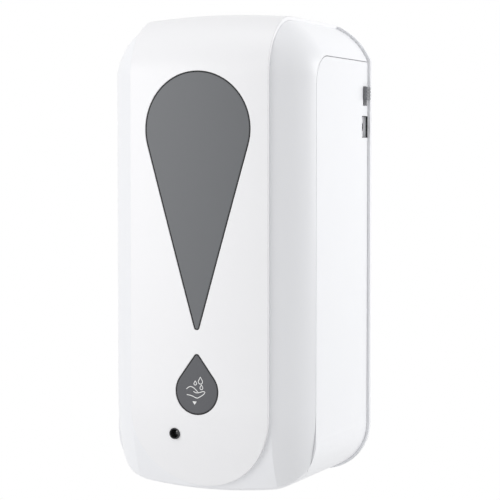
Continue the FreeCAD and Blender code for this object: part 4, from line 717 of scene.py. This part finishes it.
class DISPENSER_OT_status_lens(bpy.types.Operator):
    """Make the status lens with its bowed front and its flange"""
    bl_idname = "dispenser.status_lens"
    bl_label = "Status lens"

    def execute(self, context):
        sizes = context.scene.dispenser_sizes
        low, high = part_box("status_lens")
        middle = (low + high) / 2
        flange = (high.x - low.x) / 2
        step = high.y - LENS_FLANGE
        form = bmesh.new()
        # Half section from the middle of the bowed front, round the stem and the flange, to the back.
        section = [(0, low.y), (LENS_STEM * 0.55, low.y + sizes.lens_bow * 0.3),
                   (LENS_STEM, low.y + sizes.lens_bow), (LENS_STEM, step), (flange, step),
                   (flange, high.y), (0, high.y)]
        points = [form.verts.new((middle.x + r, y, middle.z)) for r, y in section]
        for a, b in zip(points, points[1:]):
            form.edges.new((a, b))
        bmesh.ops.spin(form, geom=form.verts[:] + form.edges[:], cent=(middle.x, 0, middle.z),
                       axis=(0, 1, 0), angle=2 * math.pi, steps=LENS_STEPS, use_merge=True)
        bmesh.ops.remove_doubles(form, verts=form.verts, dist=1e-6)
        bmesh.ops.recalc_face_normals(form, faces=form.faces)
        settle(form, "status_light_lens", "cover", finish_for("clear_lens"), ["status_lens"])
        return {"FINISHED"}


class DISPENSER_OT_shade_linings(bpy.types.Operator):
    """Line the status hole, the inlet's recess and the inlet's hole with black plastic, as painted shade in
    these hollows
    """
    bl_idname = "dispenser.linings"
    bl_label = "Black linings"

    def execute(self, context):
        low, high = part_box("status_lens")
        middle = (low + high) / 2
        middle.y = 0
        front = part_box("face_panel")[0].y + crown_sag(middle.x, crown_radius()) + LINING_SINK
        # Painted shade: a black sleeve darkens the wall of the status hole.
        self.sleeve("status_hole_shade_sleeve", "cover", middle, Vector((0, 1, 0)), (front, high.y - LENS_FLANGE),
                    STATUS_SLEEVE)
        low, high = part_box("power_inlet")
        middle = (low + high) / 2
        middle.x = 0
        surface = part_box("rear_housing")[1].x
        floor = surface - INLET_RECESS.x
        # Painted shade: a black sleeve darkens the wall of the inlet's hole.
        self.sleeve("inlet_hole_shade_sleeve", "housing", middle, Vector((1, 0, 0)),
                    (floor - INLET_SLEEVE_DEPTH, floor), INLET_SLEEVE)
        # The black lining is painted shade on the recess walls. Only the outer part of the recess is lined, so
        # that its foot stays paler than its rim.
        self.frame_shade_lining("inlet_recess_shade_lining", "housing", middle, floor + INLET_PALE_FOOT,
                          surface - LINING_SINK / 2)
        return {"FINISHED"}

    def sleeve(self, name, body, middle, axis, ends, radii):
        """A short tube along X or Y, between two ends and two radii, in black as painted shade inside a hole.
        """
        form = bmesh.new()
        across = Vector((axis.y, axis.x, 0))
        start, end = ends
        inner, outer = radii
        corners = [form.verts.new(middle + axis * run + across * radius)
                   for run, radius in ((start, inner), (start, outer), (end, outer), (end, inner))]
        ring = [form.edges.new((a, b)) for a, b in zip(corners, corners[1:] + corners[:1])]
        bmesh.ops.spin(form, geom=corners + ring, cent=middle, axis=axis, angle=2 * math.pi,
                       steps=SLEEVE_STEPS, use_merge=True)
        bmesh.ops.remove_doubles(form, verts=form.verts, dist=1e-6)
        bmesh.ops.recalc_face_normals(form, faces=form.faces)
        settle(form, name, body, finish_for("black_abs"))

    def frame_shade_lining(self, name, body, middle, start, end):
        """A thin open frame against the four walls of the inlet's recess, in black as painted shade on those
        walls.
        """
        form = bmesh.new()
        bmesh.ops.create_grid(form, x_segments=1, y_segments=1, size=0.5,
                              matrix=Matrix.Rotation(math.pi / 2, 4, "Y"))
        bmesh.ops.scale(form, verts=form.verts, vec=(1, INLET_RECESS.y, INLET_RECESS.z))
        bmesh.ops.translate(form, verts=form.verts, vec=middle + Vector((start, 0, 0)))
        leave_ring(form, form.faces[:], LINING_WALL)
        give_depth(form, (end - start, 0, 0))
        settle(form, name, body, finish_for("black_abs"))


class DISPENSER_OT_soap(bpy.types.Operator):
    """Fill the bottle with tinted liquid soap up to its level"""
    bl_idname = "dispenser.soap"
    bl_label = "Soap"

    def execute(self, context):
        low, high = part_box("soap_bottle")
        bottom = low.z + SOAP_FROM_FOOT
        top = bottom + (high.z - bottom) * context.scene.dispenser_sizes.soap_level
        centre = Vector(((low.x + high.x) / 2, (low.y + high.y) / 2, (bottom + top) / 2))
        size = Vector((high.x - low.x - 2 * SOAP_FROM_SIDES, high.y - low.y - 2 * SOAP_FROM_SIDES,
                       top - bottom))
        form = bmesh.new()
        bmesh.ops.create_cube(form, size=1.0,
                              matrix=Matrix.Translation(centre) @ Matrix.Diagonal(size).to_4x4())
        upright = [e for e in form.edges if abs(e.verts[0].co.z - e.verts[1].co.z) > 1e-4]
        bmesh.ops.bevel(form, geom=upright, offset=SOAP_CORNER, segments=8, profile=0.5, affect="EDGES",
                        material=-1, clamp_overlap=True)
        settle(form, "soap_liquid", "bottle", soap_liquid())
        return {"FINISHED"}


def soap_liquid():
    # Tinted liquid soap: clear body, a wet surface and a faint cloud.
    finish, tree, shader, place = start_finish("liquid_soap_tinted", {
        "IOR": 1.36, "Transmission Weight": 0.7})
    mottle(tree, shader, place, bpy.context.scene.dispenser_colours.soap, drift=0.03, patch_mm=30.0,
           roughness=0.08, swing=0.02)
    return finish


class DISPENSER_OT_studio(bpy.types.Operator):
    """Build the floor, the soft lights, the pale surround and the camera"""
    bl_idname = "dispenser.studio"
    bl_label = "Studio"

    def execute(self, context):
        studio = context.scene.dispenser_studio
        self.floor(context, studio)
        middle = (cad_box[0] + cad_box[1]) / 2
        self.lamp(context, "front_softbox", FRONT_SOFTBOX, middle, studio.front_light)
        self.lamp(context, "side_softbox", SIDE_SOFTBOX, middle, studio.side_light)
        self.lamp(context, "top_softbox", TOP_SOFTBOX, middle, studio.top_light)
        self.surround(context, studio)
        lens = bpy.data.cameras.new("camera")
        lens.sensor_width = 36
        lens.lens = studio.focal_length
        camera = bpy.data.objects.new("camera", lens)
        camera.location = studio.eye
        camera.rotation_euler = (math.pi / 2 - studio.dip, 0, studio.pan)
        context.scene.collection.objects.link(camera)
        context.scene.camera = camera
        context.scene.view_settings.view_transform = "Standard"
        return {"FINISHED"}

    def lamp(self, context, name, softbox, target, power):
        """A square soft light that faces the target."""
        place, side = Vector(softbox[0]), softbox[1]
        light = bpy.data.lights.new(name, "AREA")
        light.shape = "SQUARE"
        light.size = side
        light.energy = power
        holder = bpy.data.objects.new(name, light)
        turn = (place - target).to_track_quat("Z", "Y").to_matrix().to_4x4()
        holder.matrix_world = Matrix.Translation(place) @ turn
        context.scene.collection.objects.link(holder)

    def floor(self, context, studio):
        """A round pale floor below the dispenser that keeps its shadow and fades into the surround."""
        form = bmesh.new()
        bmesh.ops.create_circle(form, cap_ends=True, segments=96, radius=FLOOR_REACH,
                                matrix=Matrix.Translation((0, 0, cad_box[0].z - studio.floor_drop)))
        mesh = bpy.data.meshes.new("floor")
        form.to_mesh(mesh)
        form.free()
        floor = bpy.data.objects.new("floor", mesh)
        context.scene.collection.objects.link(floor)
        finish = bpy.data.materials.new("painted_floor_pale")
        finish.use_nodes = True
        tree = finish.node_tree
        tree.nodes.clear()
        place = add_node(tree, "ShaderNodeTexCoord").outputs["Object"]
        flat = add_node(tree, "ShaderNodeVectorMath", {"operation": "MULTIPLY", 1: (1, 1, 0)}, {0: place})
        away = add_node(tree, "ShaderNodeVectorMath", {"operation": "LENGTH"}, {0: flat.outputs[0]})
        fade = add_node(tree, "ShaderNodeMapRange", {
            "interpolation_type": "SMOOTHSTEP", "From Min": FLOOR_FADE[0], "From Max": FLOOR_FADE[1]},
            {"Value": away.outputs["Value"]})
        seen = self.seen_ray(tree)
        share = add_node(tree, "ShaderNodeMath", {"operation": "MULTIPLY"}, {0: fade.outputs[0], 1: seen})
        paint = add_node(tree, "ShaderNodeBsdfDiffuse", {"Color": linear("F4F4F4")})
        white = add_node(tree, "ShaderNodeEmission", {"Strength": 1.0})
        mix = add_node(tree, "ShaderNodeMixShader", links={0: share.outputs[0], 1: paint.outputs[0],
                                                          2: white.outputs[0]})
        add_node(tree, "ShaderNodeOutputMaterial", links={"Surface": mix.outputs[0]})
        mesh.materials.append(finish)

    def seen_ray(self, tree):
        """One for rays that show the surround: from the camera, in a reflection or through something clear."""
        path = add_node(tree, "ShaderNodeLightPath")
        shown = add_node(tree, "ShaderNodeMath", {"operation": "MAXIMUM"}, {
            0: path.outputs["Is Camera Ray"], 1: path.outputs["Is Glossy Ray"]})
        return add_node(tree, "ShaderNodeMath", {"operation": "MAXIMUM"}, {
            0: shown.outputs[0], 1: path.outputs["Is Transmission Ray"]}).outputs[0]

    def surround(self, context, studio):
        """White where it is seen, and an even low light elsewhere."""
        world = bpy.data.worlds.new("studio")
        world.use_nodes = True
        tree = world.node_tree
        tree.nodes.clear()
        strength = add_node(tree, "ShaderNodeMapRange", {"To Min": studio.room_light, "To Max": 1.0},
                            {"Value": self.seen_ray(tree)})
        light = add_node(tree, "ShaderNodeBackground", {"Color": (1, 1, 1, 1)},
                         {"Strength": strength.outputs[0]})
        add_node(tree, "ShaderNodeOutputWorld", links={"Surface": light.outputs[0]})
        context.scene.world = world


class DISPENSER_PT_sidebar(bpy.types.Panel):
    """Lists the dispenser's pieces, sizes and colours"""
    bl_idname = "DISPENSER_PT_sidebar"
    bl_label = "Soap dispenser"
    bl_space_type = "VIEW_3D"
    bl_region_type = "UI"
    bl_category = "Dispenser"

    def draw(self, context):
        for operator in OPERATORS:
            self.layout.operator(operator.bl_idname)
        for group in (context.scene.dispenser_colours, context.scene.dispenser_sizes,
                      context.scene.dispenser_studio):
            box = self.layout.box()
            for name in group.__annotations__:
                box.prop(group, name)


OPERATORS = (DISPENSER_OT_finish_nodes, DISPENSER_OT_drop_window, DISPENSER_OT_badge,
             DISPENSER_OT_status_lens, DISPENSER_OT_shade_linings, DISPENSER_OT_soap, DISPENSER_OT_studio)
CLASSES = (DispenserColours, DispenserSizes, StudioSettings) + OPERATORS + (DISPENSER_PT_sidebar,)


def register():
    for each in CLASSES:
        bpy.utils.register_class(each)
    bpy.types.Scene.dispenser_colours = bpy.props.PointerProperty(type=DispenserColours)
    bpy.types.Scene.dispenser_sizes = bpy.props.PointerProperty(type=DispenserSizes)
    bpy.types.Scene.dispenser_studio = bpy.props.PointerProperty(type=StudioSettings)


def unregister():
    del bpy.types.Scene.dispenser_studio
    del bpy.types.Scene.dispenser_sizes
    del bpy.types.Scene.dispenser_colours
    for each in reversed(CLASSES):
        bpy.utils.unregister_class(each)


def main():
    register()
    bpy.ops.dispenser.finish_nodes()
    bpy.ops.dispenser.drop_window()
    bpy.ops.dispenser.badge()
    bpy.ops.dispenser.status_lens()
    # Black linings as painted shade in the status hole and the inlet.
    bpy.ops.dispenser.linings()
    bpy.ops.dispenser.soap()
    bpy.ops.dispenser.studio()


if __name__ == "__main__":
    main()
